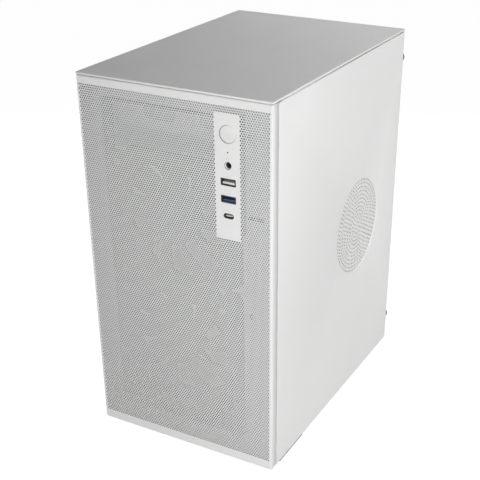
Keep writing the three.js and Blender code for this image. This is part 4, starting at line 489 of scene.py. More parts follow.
def drawn_metal_group():
    """Rolled or brushed metal: long fine streaks along one axis, with small stains."""
    tree, start, end = group(
        "Drawn metal",
        [
            ("Vector", "NodeSocketVector", None),
            ("Color", "NodeSocketColor", (0.6, 0.6, 0.6, 1)),
            ("Roughness", "NodeSocketFloat", 0.3),
            ("Streak", "NodeSocketVector", (40.0, 900.0, 900.0)),
        ],
        [("Color", "NodeSocketColor"), ("Roughness", "NodeSocketFloat"), ("Height", "NodeSocketFloat")],
    )
    stretch = tree.nodes.new("ShaderNodeVectorMath")
    stretch.operation = "MULTIPLY"
    tree.links.new(start.outputs["Vector"], stretch.inputs[0])
    tree.links.new(start.outputs["Streak"], stretch.inputs[1])
    streak = noise(tree, stretch.outputs["Vector"], 1.0, 3.0, 0.6)
    stain = remap(tree, noise(tree, start.outputs["Vector"], 35.0, 3.0), 0.93, 1.04, 0.3, 0.7)
    tone = calculate(tree, "MULTIPLY", stain, remap(tree, streak, 0.9, 1.08, 0.3, 0.7))
    tree.links.new(tint(tree, start.outputs["Color"], tone), end.inputs["Color"])
    dull = remap(tree, streak, -0.07, 0.09, 0.3, 0.7)
    tree.links.new(calculate(tree, "ADD", start.outputs["Roughness"], dull), end.inputs["Roughness"])
    tree.links.new(streak, end.inputs["Height"])
    return tree


def circuit_lacquer_group():
    """Board lacquer over copper tracks, drawn in two of the board's axes."""
    tree, start, end = group(
        "Circuit lacquer",
        [
            ("Vector", "NodeSocketVector", None),
            ("Color", "NodeSocketColor", (0.01, 0.012, 0.014, 1)),
            ("Track", "NodeSocketColor", (0.03, 0.036, 0.04, 1)),
        ],
        [("Color", "NodeSocketColor"), ("Height", "NodeSocketFloat")],
    )
    vector = start.outputs["Vector"]
    bend = tree.nodes.new("ShaderNodeTexVoronoi")
    bend.distance = "CHEBYCHEV"
    bend.inputs["Scale"].default_value = 55.0
    tree.links.new(vector, bend.inputs["Vector"])
    wave = calculate(tree, "SINE", calculate(tree, "MULTIPLY", bend.outputs["Distance"], 60.0))
    track = remap(tree, wave, 0.0, 1.0, 0.35, 0.6)
    vias = tree.nodes.new("ShaderNodeTexVoronoi")
    vias.inputs["Scale"].default_value = 240.0
    tree.links.new(vector, vias.inputs["Vector"])
    dots = remap(tree, vias.outputs["Distance"], 1.0, 0.0, 0.08, 0.16)
    raised = calculate(tree, "MAXIMUM", track, dots)
    mix = tree.nodes.new("ShaderNodeMix")
    mix.data_type = "RGBA"
    tree.links.new(raised, mix.inputs["Factor"])
    tree.links.new(start.outputs["Color"], mix.inputs["A"])
    tree.links.new(start.outputs["Track"], mix.inputs["B"])
    tree.links.new(mix.outputs["Result"], end.inputs["Color"])
    tree.links.new(raised, end.inputs["Height"])
    return tree


def braid_group():
    """Braided sleeve: two sets of strands that cross round the lead."""
    tree, start, end = group(
        "Braid",
        [
            ("Vector", "NodeSocketVector", None),
            ("Color", "NodeSocketColor", (0.015, 0.015, 0.015, 1)),
            ("Strands", "NodeSocketFloat", 700.0),
        ],
        [("Color", "NodeSocketColor"), ("Height", "NodeSocketFloat")],
    )
    split = tree.nodes.new("ShaderNodeSeparateXYZ")
    tree.links.new(start.outputs["Vector"], split.inputs[0])
    across = calculate(tree, "ADD", split.outputs["X"], split.outputs["Y"])
    waves = []
    for operation in ("ADD", "SUBTRACT"):
        slant = calculate(tree, operation, split.outputs["Z"], across)
        turns = calculate(tree, "MULTIPLY", slant, start.outputs["Strands"])
        waves.append(calculate(tree, "SINE", calculate(tree, "MULTIPLY", turns, 2 * math.pi)))
    strand = remap(tree, calculate(tree, "MAXIMUM", waves[0], waves[1]), 0.0, 1.0, -1.0, 1.0)
    # The colour follows the strands' height: painted shade in the grooves between strands and painted sheen
    # on their crowns.
    tree.links.new(tint(tree, start.outputs["Color"], remap(tree, strand, 0.5, 1.8)), end.inputs["Color"])
    tree.links.new(strand, end.inputs["Height"])
    return tree


GROUP_MAKERS = {
    "Powder coat": coated_steel_group,
    "Moulded grain": moulded_grain_group,
    "Drawn metal": drawn_metal_group,
    "Circuit lacquer": circuit_lacquer_group,
    "Braid": braid_group,
}


def shared_group(name):
    """The shader group of that name, made at its first use."""
    return bpy.data.node_groups.get(name) or GROUP_MAKERS[name]()


def surface(name, effect, settings, bump, metallic=0.0, roughness=None, **sockets):
    """Material whose colour, roughness and bump come from one shared effect."""
    material = bpy.data.materials.new(name)
    material.use_nodes = True
    tree = material.node_tree
    shader = tree.nodes["Principled BSDF"]
    place = tree.nodes.new("ShaderNodeTexCoord")
    made = tree.nodes.new("ShaderNodeGroup")
    made.node_tree = shared_group(effect)
    tree.links.new(place.outputs["Object"], made.inputs["Vector"])
    for label, value in settings.items():
        made.inputs[label].default_value = (*value, 1) if label in ("Color", "Track") else value
    tree.links.new(made.outputs["Color"], shader.inputs["Base Color"])
    if "Roughness" in made.outputs:
        tree.links.new(made.outputs["Roughness"], shader.inputs["Roughness"])
    elif roughness is not None:
        shader.inputs["Roughness"].default_value = roughness
    relief = tree.nodes.new("ShaderNodeBump")
    relief.inputs["Strength"].default_value = bump
    relief.inputs["Distance"].default_value = 0.0002
    tree.links.new(made.outputs["Height"], relief.inputs["Height"])
    tree.links.new(relief.outputs["Normal"], shader.inputs["Normal"])
    shader.inputs["Metallic"].default_value = metallic
    for label, value in sockets.items():
        shader.inputs[label.replace("_", " ")].default_value = value
    return material


def coat(name, color, roughness, bump):
    """Powder coat."""
    return surface(name, "Powder coat", {"Color": color, "Roughness": roughness}, bump)


def moulded(name, color, roughness, bump, grain=1500.0, metallic=0.0, **sockets):
    """Moulded plastic, resin or casting."""
    settings = {"Color": color, "Roughness": roughness, "Grain size": grain}
    return surface(name, "Moulded grain", settings, bump, metallic, **sockets)


def metal(name, color, roughness, bump, streak=(40.0, 900.0, 900.0), metallic=1.0):
    """Rolled, drawn or brushed metal."""
    settings = {"Color": color, "Roughness": roughness, "Streak": streak}
    return surface(name, "Drawn metal", settings, bump, metallic)


def make_materials(colors):
    """Every material of the tower, by a plain name."""
    board = tuple(colors.board)
    track = (board[0] * 2.6, board[1] * 2.8, board[2] * 2.8)
    return {
        "paint": coat("White powder coat", tuple(colors.paint), 0.42, 0.12),
        # Darker grey for the walls of holes and cut edges: painted shade, not a thinner coat.
        "hole_wall_shade": coat("Painted shade on the hole walls", (0.26, 0.26, 0.26), 0.5, 0.12),
        "black_paint": coat("Black powder coat", (0.02, 0.02, 0.022), 0.52, 0.3),
        # Black moulded plastic; the same tone paints the shade in the thumbscrews' cross recesses.
        "moulding_and_recess_shade": moulded("Black moulding and painted recess shade", tuple(colors.moulding_and_recess_shade), 0.48, 0.15),
        "fan": moulded("Fan moulding", (0.014, 0.014, 0.015), 0.62, 0.1),
        "rubber": moulded("Foot rubber", (0.014, 0.014, 0.014), 0.72, 0.35, grain=900.0),
        "white_plastic": moulded("White button", (0.8, 0.8, 0.795), 0.42, 0.06),
        "socket_white": moulded("White socket tongue", (0.72, 0.72, 0.7), 0.4, 0.05),
        "socket_blue": moulded("Blue socket tongue", tuple(colors.tongue), 0.4, 0.05),
        "socket_green": moulded("Lime socket ring", (0.28, 0.55, 0.06), 0.42, 0.05),
        "socket_pink": moulded("Pink socket ring", (0.75, 0.22, 0.34), 0.42, 0.05),
        "socket_sky": moulded("Pale blue socket ring", (0.12, 0.42, 0.72), 0.42, 0.05),
        "light_pipe": moulded("Light pipe", (0.82, 0.85, 0.88), 0.12, 0.02, Transmission_Weight=0.5),
        "print": moulded("Grey print", (0.6, 0.6, 0.6), 0.5, 0.02),
        "label": moulded("Bare label", (0.5, 0.5, 0.5), 0.5, 0.03),
        "steel": metal("Plated steel", (0.55, 0.555, 0.56), 0.3, 0.06),
        "zinc": metal("Zinc plated chassis parts", (0.62, 0.62, 0.61), 0.34, 0.08, (900.0, 900.0, 60.0)),
        "gold": metal("Gold contacts", (0.83, 0.62, 0.26), 0.24, 0.03),
        "copper": metal("Wound copper", (0.72, 0.33, 0.16), 0.34, 0.2, (900.0, 900.0, 60.0)),
        "nickel": metal("Nickel lid", (0.63, 0.61, 0.58), 0.27, 0.04),
        "aluminium": metal("Extruded aluminium", (0.66, 0.665, 0.67), 0.36, 0.08, (60.0, 900.0, 900.0)),
        "cast": moulded("Cast aluminium", (0.5, 0.5, 0.505), 0.45, 0.2, grain=700.0, metallic=0.9),
        # Blackened steel of the thumbscrews, the oval socket's shell and the headphone sleeve; the same dark
        # tone paints the shade in the small screws' cross recesses.
        "dark_metal_and_recess_shade": metal("Blackened steel and painted recess shade", (0.05, 0.05, 0.053), 0.38, 0.06, metallic=0.6),
        "heat_spreader": metal(
            "Anodised cover", (0.03, 0.03, 0.033), 0.36, 0.1, (900.0, 900.0, 50.0), metallic=0.5
        ),
        "board": surface(
            "Board lacquer", "Circuit lacquer", {"Color": board, "Track": track}, 0.2, roughness=0.34,
            Coat_Weight=0.25, Coat_Roughness=0.2,
        ),
        "chip": moulded("Chip resin", (0.02, 0.02, 0.022), 0.55, 0.1),
        "sleeve": surface(
            "Braided sleeve", "Braid", {"Color": (0.016, 0.016, 0.017), "Strands": 420.0}, 0.5, roughness=0.62
        ),
    }


MATERIALS = {}

# Finish of each carried-over node that keeps its own solid.
NODE_FINISH = {
    "paint": (
        "top_cover", "front_panel", "right_side_panel", "left_side_panel", "base_pan", "top_frame",
        "chassis_front", "chassis_rear", "slot_access_plate", "motherboard_tray", "drive_cage",
    ),
    "black_paint": ("psu_case", "fan_bracket"),
    "rubber": ("foot_front_left", "foot_front_right", "foot_rear_left", "foot_rear_right"),
    "dark_metal_and_recess_shade": (
        "thumbscrew_left_lower", "thumbscrew_left_upper", "thumbscrew_right_lower", "thumbscrew_right_upper",
    ),
    "moulding_and_recess_shade": (
        "io_bracket", "power_switch", "audio_jack", "usb2_port", "rear_audio_jacks", "memory_slot_1",
        "memory_slot_2", "graphics_slot", "psu_inlet", "psu_switch",
    ),
    "fan": (
        "front_fan_lower_frame", "front_fan_lower_rotor", "front_fan_upper_frame", "front_fan_upper_rotor",
        "rear_fan_frame", "rear_fan_rotor", "cooler_fan_frame", "cooler_fan_rotor", "psu_fan_frame",
        "psu_fan_rotor",
    ),
    "white_plastic": ("power_button",),
    "socket_blue": ("usb3_port",),
    "light_pipe": ("power_led",),
    "board": ("motherboard", "io_board"),
    "heat_spreader": ("memory_module_1", "memory_module_2"),
    "zinc": ("io_shield",),
    "steel": ("usbc_port", "rear_usb_ports", "rear_video_ports", "psu_fan_guard"),
    "nickel": ("processor",),
    "aluminium": ("cooler_heatsink", "chipset_heatsink"),
    "cast": ("hard_drive",),
    "sleeve": ("main_power_cable", "processor_power_cable", "front_panel_cable"),
}


class TOWER_OT_finishes(bpy.types.Operator):
    """Makes the materials and lays them on the carried-over pieces"""

    bl_idname = "tower.finishes"
    bl_label = "Finishes"

    def execute(self, context):
        MATERIALS.update(make_materials(context.scene.tower_finish))
        for finish, names in NODE_FINISH.items():
            for name in names:
                NODES[name].data.materials.clear()
                NODES[name].data.materials.append(MATERIALS[finish])
        return {"FINISHED"}


# ---------------------------------------------------------------- front cover
# Thickness of the covers' sheet, and the front cover's outer bend radius.
SHEET = 0.8
BEND = 1.6
# The button, light and sockets stand in one column, each at its own height.
PORTS_X = middle_of("power_button").x
BUTTON_Z = middle_of("power_button").z
LED_Z = middle_of("power_led").z
JACK_Z = middle_of("audio_jack").z
USB2_Z = middle_of("usb2_port").z
USB3_Z = middle_of("usb3_port").z
USBC_Z = middle_of("usbc_port").z
CLIP_HEIGHTS = (40, 176, 312)


def row_rise(pitch):
    """Height from one staggered row of holes to the next."""
    return pitch * math.sqrt(3) / 2


def shift_copy(mesh, geom, offset):
    """Copy of some faces, moved. Returns the new faces."""
    copy = bmesh.ops.duplicate(mesh, geom=geom)["geom"]
    bmesh.ops.translate(mesh, vec=offset, verts=only(copy, bmesh.types.BMVert))
    return only(copy, bmesh.types.BMFace)


def add_hexagon_rows(mesh, pitch, columns, rows, left, bottom):
    """Sheet of joined six-sided cells in staggered rows. Each cell stands on a corner."""
    cell = bmesh.ops.create_circle(
        mesh, cap_ends=True, segments=6, radius=pitch / math.sqrt(3), matrix=laid("y", left, 0, bottom)
    )["verts"]
    row = faces_of(cell)
    for column in range(1, columns):
        row += shift_copy(mesh, row[:1], (column * pitch, 0, 0))
    for index in range(1, rows):
        shift_copy(mesh, row, (index % 2 * pitch / 2, 0, index * row_rise(pitch)))
    bmesh.ops.remove_doubles(mesh, verts=mesh.verts, dist=0.02)


def trim(mesh, normal, place):
    """Cuts away what lies beyond a plane."""
    bmesh.ops.bisect_plane(
        mesh, geom=list(mesh.verts) + list(mesh.edges) + list(mesh.faces),
        plane_co=place, plane_no=normal, clear_outer=True, dist=1e-4,
    )


def rounds_a_small_hole(edge, most):
    """True where an open edge belongs to a loop of no more than so many edges."""
    start, vert, last = edge.verts[0], edge.verts[1], edge
    for _ in range(most):
        if vert == start:
            return True
        last = next(other for other in vert.link_edges if other.is_boundary and other != last)
        vert = last.other_vert(vert)
    return False


class TOWER_OT_front_cover(bpy.types.Operator):
    """Front cover: folded tray with bent corners, fine staggered perforation and a plain strip"""

    bl_idname = "tower.front_cover"
    bl_label = "Front Cover"

    def execute(self, context):
        sizes = context.scene.tower_front
        low, high = case_box("front_panel")
        self.tray(low, high)
        self.clips(high)
        rise = row_rise(sizes.pitch / MM)
        rows = math.ceil((high.z - low.z) / rise) + 1
        # Every band starts at an even row, and the plain strip lies in the last one.
        below_strip = 2 * int((sizes.strip_bottom / MM - 2 * rise) / rise / 2)
        starts = [0, 2 * int(below_strip / 4), below_strip, rows]
        for index, (first, end) in enumerate(zip(starts, starts[1:])):
            self.perforated_band(sizes, index, first, end)
        return {"FINISHED"}

    def tray(self, low, high):
        """The cover's bent border: rounded corners, side walls and the returns that hold the clips."""
        depth, back_return = 10, 10
        mesh = bmesh.new()
        add_block(mesh, (low.x, 0, low.z), (high.x, depth, high.z))
        mesh.normal_update()
        bmesh.ops.delete(mesh, geom=[f for f in mesh.faces if f.normal.y > 0.9], context="FACES_ONLY")
        bent = [e for e in mesh.edges if min(vert.co.y for vert in e.verts) < NEAR]
        soften(mesh, bent, BEND, 4)
        mesh.normal_update()
        front = max(mesh.faces, key=lambda face: -face.normal.y * face.calc_area())
        bmesh.ops.delete(mesh, geom=[front], context="FACES_ONLY")
        for side in (-1, 1):
            rim = [
                edge for edge in mesh.edges
                if edge.is_boundary
                and all(v.co.y > depth - NEAR and side * v.co.x > high.x - NEAR for v in edge.verts)
            ]
            add_fold(mesh, rim, (-side * back_return, 0, 0), (2, 1.5))
        bmesh.ops.recalc_face_normals(mesh, faces=mesh.faces)
        mesh.normal_update()
        broad = max(mesh.faces, key=lambda face: face.calc_area() * abs(face.normal.x))
        if broad.normal.x * broad.calc_center_median().x < 0:
            bmesh.ops.reverse_faces(mesh, faces=mesh.faces)
        finish_piece("front_cover_tray", mesh, "front_cover", "paint", ["front_panel"], SHEET)

    def clips(self, high):
        """Barbed studs on the returns, three at each side."""
        mesh = bmesh.new()
        barb = [(0, 0), (2.1, 0), (2.6, 0.9), (2.4, 1.5), (1.3, 2.9), (0, 2.9)]
        for side in (-1, 1):
            for height in CLIP_HEIGHTS:
                x = side * (high.x - SHEET - 5)
                add_rod(mesh, along("y", x, 9.4, height), 2.0, 4.0, sides=16)
                add_lathe(mesh, barb, 16, along("y", x, 12.0, height))
                add_block(mesh, (x - 0.4, 11.5, height - 2.8), (x + 0.4, 14.7, height + 2.8))
        finish_piece("front_cover_clips", mesh, "front_cover", "moulding_and_recess_shade")

    def perforated_band(self, sizes, index, first, end):
        """One level band of the perforation, from one even row to another."""
        pitch = sizes.pitch / MM
        rise = row_rise(pitch)
        low, high = case_box("front_panel")
        mesh = bmesh.new()
        columns = 2 * math.ceil(high.x / pitch) + 2
        add_hexagon_rows(mesh, pitch, columns, end - first, -pitch * columns / 2, first * rise + rise / 2)
        trim(mesh, (1, 0, 0), (high.x - BEND, 0, 0))
        trim(mesh, (-1, 0, 0), (low.x + BEND, 0, 0))
        trim(mesh, (0, 0, 1), (0, 0, high.z - BEND))
        trim(mesh, (0, 0, -1), (0, 0, low.z + BEND))
        strip = [getattr(sizes, "strip_" + edge) / MM for edge in ("left", "right", "bottom", "top")]
        left, right, bottom, top = strip
        # Cells that were cut short stay solid, and so do the plain borders.
        whole = 0.98 * pitch * rise
        top_border, bottom_border, side_border = 7.0, 9.3, 2.4
        in_strip, punched = [], []
        for face in mesh.faces:
            centre = face.calc_center_median()
            if left < centre.x < right and bottom < centre.z < top:
                in_strip.append(face)
            elif (
                face.calc_area() > whole
                and abs(centre.x) < high.x - side_border
                and low.z + bottom_border < centre.z < high.z - top_border
            ):
                punched.append(face)
        bmesh.ops.inset_individual(mesh, faces=punched, thickness=sizes.web / MM / 2, use_even_offset=True)
        bmesh.ops.delete(mesh, geom=punched, context="FACES_ONLY")
        if in_strip:
            self.plain_strip(mesh, in_strip, strip, pitch)
        face_front(mesh)
        name = f"front_perforation_{index + 1}"
        # The walls of the holes take the darker grey of painted shade.
        finish_piece(
            name, mesh, "front_cover", "paint", wall=SHEET, smooth=0, wall_edge="hole_wall_shade"
        )

    def plain_strip(self, mesh, cells, strip, pitch):
        """Plain strip whose edge follows the rows of holes, with the openings for its controls."""
        bmesh.ops.delete(mesh, geom=cells, context="FACES")
        left, right, bottom, top = strip
        loops = [
            edge for edge in mesh.edges
            if edge.is_boundary
            and all(left - pitch < v.co.x < right + pitch for v in edge.verts)
            and all(bottom - pitch < v.co.z < top + pitch for v in edge.verts)
            and not rounds_a_small_hole(edge, 6)
        ]
        flat = laid("y", 0, 0, 0)
        loops += add_ring_edges(mesh, flat, 7.72, 48, PORTS_X, BUTTON_Z)
        loops += add_ring_edges(mesh, flat, 0.7, 16, PORTS_X, LED_Z)
        loops += add_ring_edges(mesh, flat, 3.5, 32, PORTS_X, JACK_Z)
        for z, half_width, half_height, corner, segments in (
            (USB2_Z, 7.2, 3.25, 0.5, 3), (USB3_Z, 7.2, 3.25, 0.5, 3), (USBC_Z, 4.95, 2.35, 2.3, 6),
        ):
            loops += add_box_edges(
                mesh, flat, PORTS_X - half_width, PORTS_X + half_width, z - half_height, z + half_height,
                corner, segments,
            )
        fill_sheet(mesh, loops, (0, -1, 0))


# ---------------------------------------------------------------- side and top covers
class TOWER_OT_side_covers(bpy.types.Operator):
    """Side covers: folded skins with a pressed round of holes, one the mirror image of the other"""

    bl_idname = "tower.side_covers"
    bl_label = "Side Covers"

    def execute(self, context):
        for side, hand in ((1, "right"), (-1, "left")):
            mesh = self.skin(context.scene.tower_sides)
            if side < 0:
                bmesh.ops.scale(mesh, vec=(-1, 1, 1), verts=mesh.verts)
            face_out(mesh, side, 0)
            # The walls of the vent holes and the cut edges take the darker grey of painted shade.
            finish_piece(
                hand + "_side_panel_skin", mesh, hand + "_cover", "paint",
                [hand + "_side_panel"], SHEET, wall_edge="hole_wall_shade",
            )
        return {"FINISHED"}

    def skin(self, sizes):
        """The right cover as an open sheet: broad face, flanges, the hem at its front, and the vent."""
        low, high = case_box("right_side_panel")
        top_flange, foot_flange, rear_flange, hem = 9.0, 4.6, 12.0, 6.0
        mesh = bmesh.new()
        outline = add_box_edges(mesh, laid("x", high.x, 0, 0), low.y, high.y, low.z, high.z)
        bmesh.ops.contextual_create(mesh, geom=outline)
        front, rear, foot, top = (
            [e for e in outline if all(abs(vert.co[axis] - value) < NEAR for vert in e.verts)]
            for axis, value in ((1, low.y), (1, high.y), (2, low.z), (2, high.z))
        )
        back_of_hem = add_fold(mesh, front, (-1.7, 0, 0))
        add_fold(mesh, rear, (-rear_flange, 0, 0), (2, 1.2))
        add_fold(mesh, foot, (-foot_flange, 0, 0), (1, 1.2))
        add_fold(mesh, top, (-top_flange, 0, 0), (1, 1.2))
        add_fold(mesh, edges_between(back_of_hem), (0, hem, 0))
        soften(mesh, outline, 0.9, 3)
        mesh.normal_update()
        skin = max(mesh.faces, key=lambda face: face.calc_area())
        border = list(skin.edges)
        bmesh.ops.delete(mesh, geom=[skin], context="FACES_ONLY")
        self.vent(mesh, border, high.x, sizes)
        return mesh

    def vent(self, mesh, border, x, sizes):
        """Shallow pressed round with a soft shoulder, its floor drilled in rings."""
        y, z, radius = sizes.vent_y / MM, sizes.vent_z / MM, sizes.vent_radius / MM
        outer = radius + 0.8
        rim = add_ring_edges(mesh, laid("x", x, 0, 0), outer, 96, y, z)
        fill_sheet(mesh, border + rim, (1, 0, 0))
        depth, shoulder_width, steps = 1.0, 1.8, 5
        centre = Matrix.Translation((x, y, z))
        at = outer
        for step in range(1, steps + 1):
            share = step / steps
            wide = outer - shoulder_width * share
            sunk = depth * (1 - math.cos(math.pi * share)) / 2
            before = depth * (1 - math.cos(math.pi * (share - 1 / steps))) / 2
            far = add_fold(mesh, rim, (before - sunk, 0, 0))
            shrink = Matrix.Diagonal((1, wide / at, wide / at, 1))
            bmesh.ops.transform(mesh, matrix=centre @ shrink @ centre.inverted(), verts=far)
            rim = edges_between(far)
            at = wide
        floor = laid("x", x - depth, 0, 0)
        loops = list(rim)
        hole = sizes.hole / MM / 2
        spacing = (radius - 1.0) / (sizes.rings + 0.25)
        loops += add_ring_edges(mesh, floor, hole, 8, y, z)
        for ring in range(1, sizes.rings + 1):
            ring_radius = ring * spacing
            count = 6 * ring if ring < 3 else round(2 * math.pi * ring_radius / (spacing * 1.02))
            if ring == sizes.rings:
                ring_radius -= spacing * 0.1
            for index in range(count):
                angle = 2 * math.pi * (index + ring % 2 / 2) / count
                across, up = ring_radius * math.cos(angle), ring_radius * math.sin(angle)
                loops += add_ring_edges(mesh, floor, hole, 8, y + across, z + up, angle)
        fill_sheet(mesh, loops, (1, 0, 0))


class TOWER_OT_top_cover(bpy.types.Operator):
    """Top cover: a folded sheet with a shallow rim, on two rails"""

    bl_idname = "tower.top_cover"
    bl_label = "Top Cover"

    def execute(self, context):
        low, high = case_box("top_cover")
        mesh = bmesh.new()
        outline = add_box_edges(mesh, laid("z", 0, 0, high.z), low.x, high.x, low.y, high.y)
        bmesh.ops.contextual_create(mesh, geom=outline)
        bmesh.ops.bevel(
            mesh, geom=list(mesh.verts), offset=1.0, segments=3, affect="VERTICES", profile=0.5, material=-1
        )
        outline = list(mesh.edges)
        add_fold(mesh, outline, (0, 0, -1.8))
        soften(mesh, outline, 0.7, 3)
        face_out(mesh, 1, 2)
        finish_piece("top_cover_sheet", mesh, "case", "paint", ["top_cover"], SHEET)
        rails = bmesh.new()
        for side in (-1, 1):
            across = sorted((side * 72, side * 80))
            add_block(rails, (across[0], 20, 352), (across[1], high.y - 14, high.z - SHEET), 0.3, 1)
        finish_piece("top_cover_rails", rails, "case", "paint")
        return {"FINISHED"}


# ---------------------------------------------------------------- button and sockets
class TOWER_OT_front_controls(bpy.types.Operator):
    """Button, light, headphone socket and data sockets on the plain strip"""

    bl_idname = "tower.front_controls"
    bl_label = "Button and Sockets"

    def execute(self, context):
        self.button()
        self.light()
        self.headphone_socket()
        self.data_socket("usb2", USB2_Z, "socket_white")
        self.data_socket("usb3", USB3_Z, "socket_blue")
        self.oval_socket()
        self.signs()
        return {"FINISHED"}

    def button(self):
        """Dished cap on its stem, and the ring that guides it."""
        low, high = case_box("power_button")
        radius = (high.x - low.x) / 2
        mesh = bmesh.new()
        deep = high.y - low.y
        profile = [
            (0, 0.12), (0.55, 0.12), (0.75, 0.0), (4.5, -0.02), (radius - 1.1, 0.0), (radius - 0.5, 0.06),
            (radius - 0.15, 0.22), (radius, 0.5), (radius, 3.2), (radius - 1.2, 3.2), (radius - 1.2, 1.4),
            (3, 1.4), (3, deep), (0, deep),
        ]
        add_lathe(mesh, profile, 64, along("y", PORTS_X, low.y, BUTTON_Z))
        finish_piece("power_button_cap", mesh, "button", "white_plastic", ["power_button"])
        bezel = bmesh.new()
        ring = [(7.62, 1.1), (8.2, 1.1), (8.2, 3.0), (9.4, 3.0), (9.4, 3.6), (7.62, 3.6), (7.62, 1.1)]
        add_lathe(bezel, ring, 64, along("y", PORTS_X, 0, BUTTON_Z))
        finish_piece("power_button_guide", bezel, "case", "white_plastic")

    def light(self):
        """Small light pipe that runs back to the lamp behind the strip."""
        low, high = case_box("power_led")
        mesh = bmesh.new()
        profile = [(0, 0.9), (0.35, 0.93), (0.62, 1.15), (0.62, 3.6), (1.5, 3.6), (1.5, 8), (0, 8)]
        add_lathe(mesh, profile, 24, along("y", PORTS_X, low.y, LED_Z))
        add_rod(mesh, along("y", PORTS_X, low.y + 8, LED_Z), 0.65, high.y - low.y - 8, sides=12)
        finish_piece("power_light_pipe", mesh, "case", "light_pipe", ["power_led"])

    def headphone_socket(self):
        """White countersunk collar, black housing behind it, and the contact sleeve in its bore."""
        low, high = case_box("audio_jack")
        place = along("y", PORTS_X, low.y, JACK_Z)
        rim = bmesh.new()
        collar = [(2.65, 1.6), (2.65, 1.2), (3.1, 0.4), (3.25, 0.2), (3.35, 0.4), (3.35, 1.6), (2.65, 1.6)]
        add_lathe(rim, collar, 40, place)
        finish_piece("headphone_collar", rim, "case", "white_plastic")
        mesh = bmesh.new()
        tube = [(1.8, 9), (1.8, 2.3), (2.2, 1.65), (3.35, 1.65), (3.35, 5.5), (2.6, 5.5), (2.6, 9), (1.8, 9)]
        add_lathe(mesh, tube, 40, place)
        add_block(mesh, (PORTS_X - 3.3, low.y + 9, JACK_Z - 3.2), (PORTS_X + 5, high.y, JACK_Z + 3.2), 0.3)
        finish_piece("headphone_socket", mesh, "case", "moulding_and_recess_shade", ["audio_jack"])
        sleeve = bmesh.new()
        lining = [(1.5, 2.5), (2.05, 1.75), (2.12, 1.75), (1.78, 2.35), (1.78, 8.6), (1.5, 8.6), (1.5, 2.5)]
        add_lathe(sleeve, lining, 32, place)
        finish_piece("headphone_sleeve", sleeve, "case", "dark_metal_and_recess_shade")

    def shell(self, low, high, wall, corners, segments):
        """Socket shell open at its mouth. corners are the radii of its outline and of its opening."""
        mesh = bmesh.new()
        flat = laid("y", 0, low.y, 0)
        deep = high.y - low.y
        outline = add_box_edges(mesh, flat, low.x, high.x, low.z, high.z, corners[0], segments[0])
        opening = add_box_edges(
            mesh, flat, low.x + wall, high.x - wall, low.z + wall, high.z - wall, corners[1], segments[1]
        )
        fill_sheet(mesh, outline + opening, (0, -1, 0))
        add_fold(mesh, outline, (0, deep, 0))
        far = add_fold(mesh, opening, (0, deep - 1, 0))
        bmesh.ops.contextual_create(mesh, geom=edges_between(far))
        bmesh.ops.contextual_create(mesh, geom=[e for e in mesh.edges if e.is_boundary])
        bmesh.ops.recalc_face_normals(mesh, faces=mesh.faces)
        return mesh

    def data_socket(self, name, height, tongue):
        """Black shell with a thick rim, and a tongue low in its mouth with four contacts under it."""
        low, high = case_box(name + "_port")
        mesh = self.shell(low, high, 0.9, (0.5, 0.25), (3, 2))
        finish_piece(name + "_shell", mesh, "case", "moulding_and_recess_shade", [name + "_port"])
        inner = bmesh.new()
        left, right = low.x + 1.3, high.x - 1.3
        add_block(inner, (left, low.y + 0.7, height - 1.9), (right, high.y - 1.2, height - 0.05), 0.15, 2)
        add_block(inner, (left - 0.2, high.y - 2, low.z + 1), (right + 0.2, high.y - 1.1, high.z - 1), 0.1)
        finish_piece(name + "_tongue", inner, "case", tongue)
        pins = bmesh.new()
        for index in range(4):
            x = PORTS_X - 3.5 + index * 7 / 3
            under = height - 2.0
            add_block(pins, (x - 0.4, low.y + 2.6, under), (x + 0.4, high.y - 2, height - 1.8), 0.05, 1)
        finish_piece(name + "_contacts", pins, "case", "gold")

    def oval_socket(self):
        """Steel shell with rounded ends, and a flat tongue in its middle."""
        low, high = case_box("usbc_port")
        wall, half = 0.55, (high.z - low.z) / 2
        mesh = self.shell(low, high, wall, (half * 0.98, (half - wall) * 0.98), (8, 8))
        finish_piece("usbc_shell", mesh, "case", "dark_metal_and_recess_shade", ["usbc_port"])
        inner = bmesh.new()
        left, right = PORTS_X - 3.2, PORTS_X + 3.2
        add_block(inner, (left, low.y + 0.5, USBC_Z - 0.4), (right, high.y - 1.2, USBC_Z + 0.4), 0.12)
        finish_piece("usbc_tongue", inner, "case", "socket_white")

    def signs(self):
        """Faint printed marks over the sockets: a headset, and plain bars for the data sockets."""
        mesh = bmesh.new()
        skin = -0.004
        headset = JACK_Z + 6.2
        arc = bmesh.ops.create_circle(
            mesh, cap_ends=False, segments=24, radius=1.25, matrix=laid("y", PORTS_X, skin, headset - 0.3)
        )["verts"]
        lower = [vert for vert in arc if vert.co.z < headset - 0.4]
        bmesh.ops.delete(mesh, geom=lower, context="VERTS")
        far = add_fold(mesh, list(mesh.edges), (0, 0, 0))
        centre = Matrix.Translation((PORTS_X, skin, headset - 0.3))
        shrink = Matrix.Diagonal((0.8, 1, 0.8, 1))
        bmesh.ops.transform(mesh, matrix=centre @ shrink @ centre.inverted(), verts=far)
        bars = [(side * 1.1, headset - 0.8, 0.28, 0.5) for side in (-1, 1)]
        for height in (USB2_Z + 5.4, USB3_Z + 5.4, USBC_Z + 4.6):
            bars += [(0, height, 1.9, 0.14), (1.9, height, 0.3, 0.3)]
        for across, height, half_width, half_height in bars:
            edges = add_box_edges(
                mesh, laid("y", 0, skin, 0), PORTS_X + across - half_width, PORTS_X + across + half_width,
                height - half_height, height + half_height, 0.12, 2,
            )
            bmesh.ops.contextual_create(mesh, geom=edges)
        face_front(mesh)
        finish_piece("socket_signs", mesh, "front_cover", "print", smooth=0)


# ---------------------------------------------------------------- screws, feet
CORNERS = ("left_lower", "left_upper", "right_lower", "right_upper")
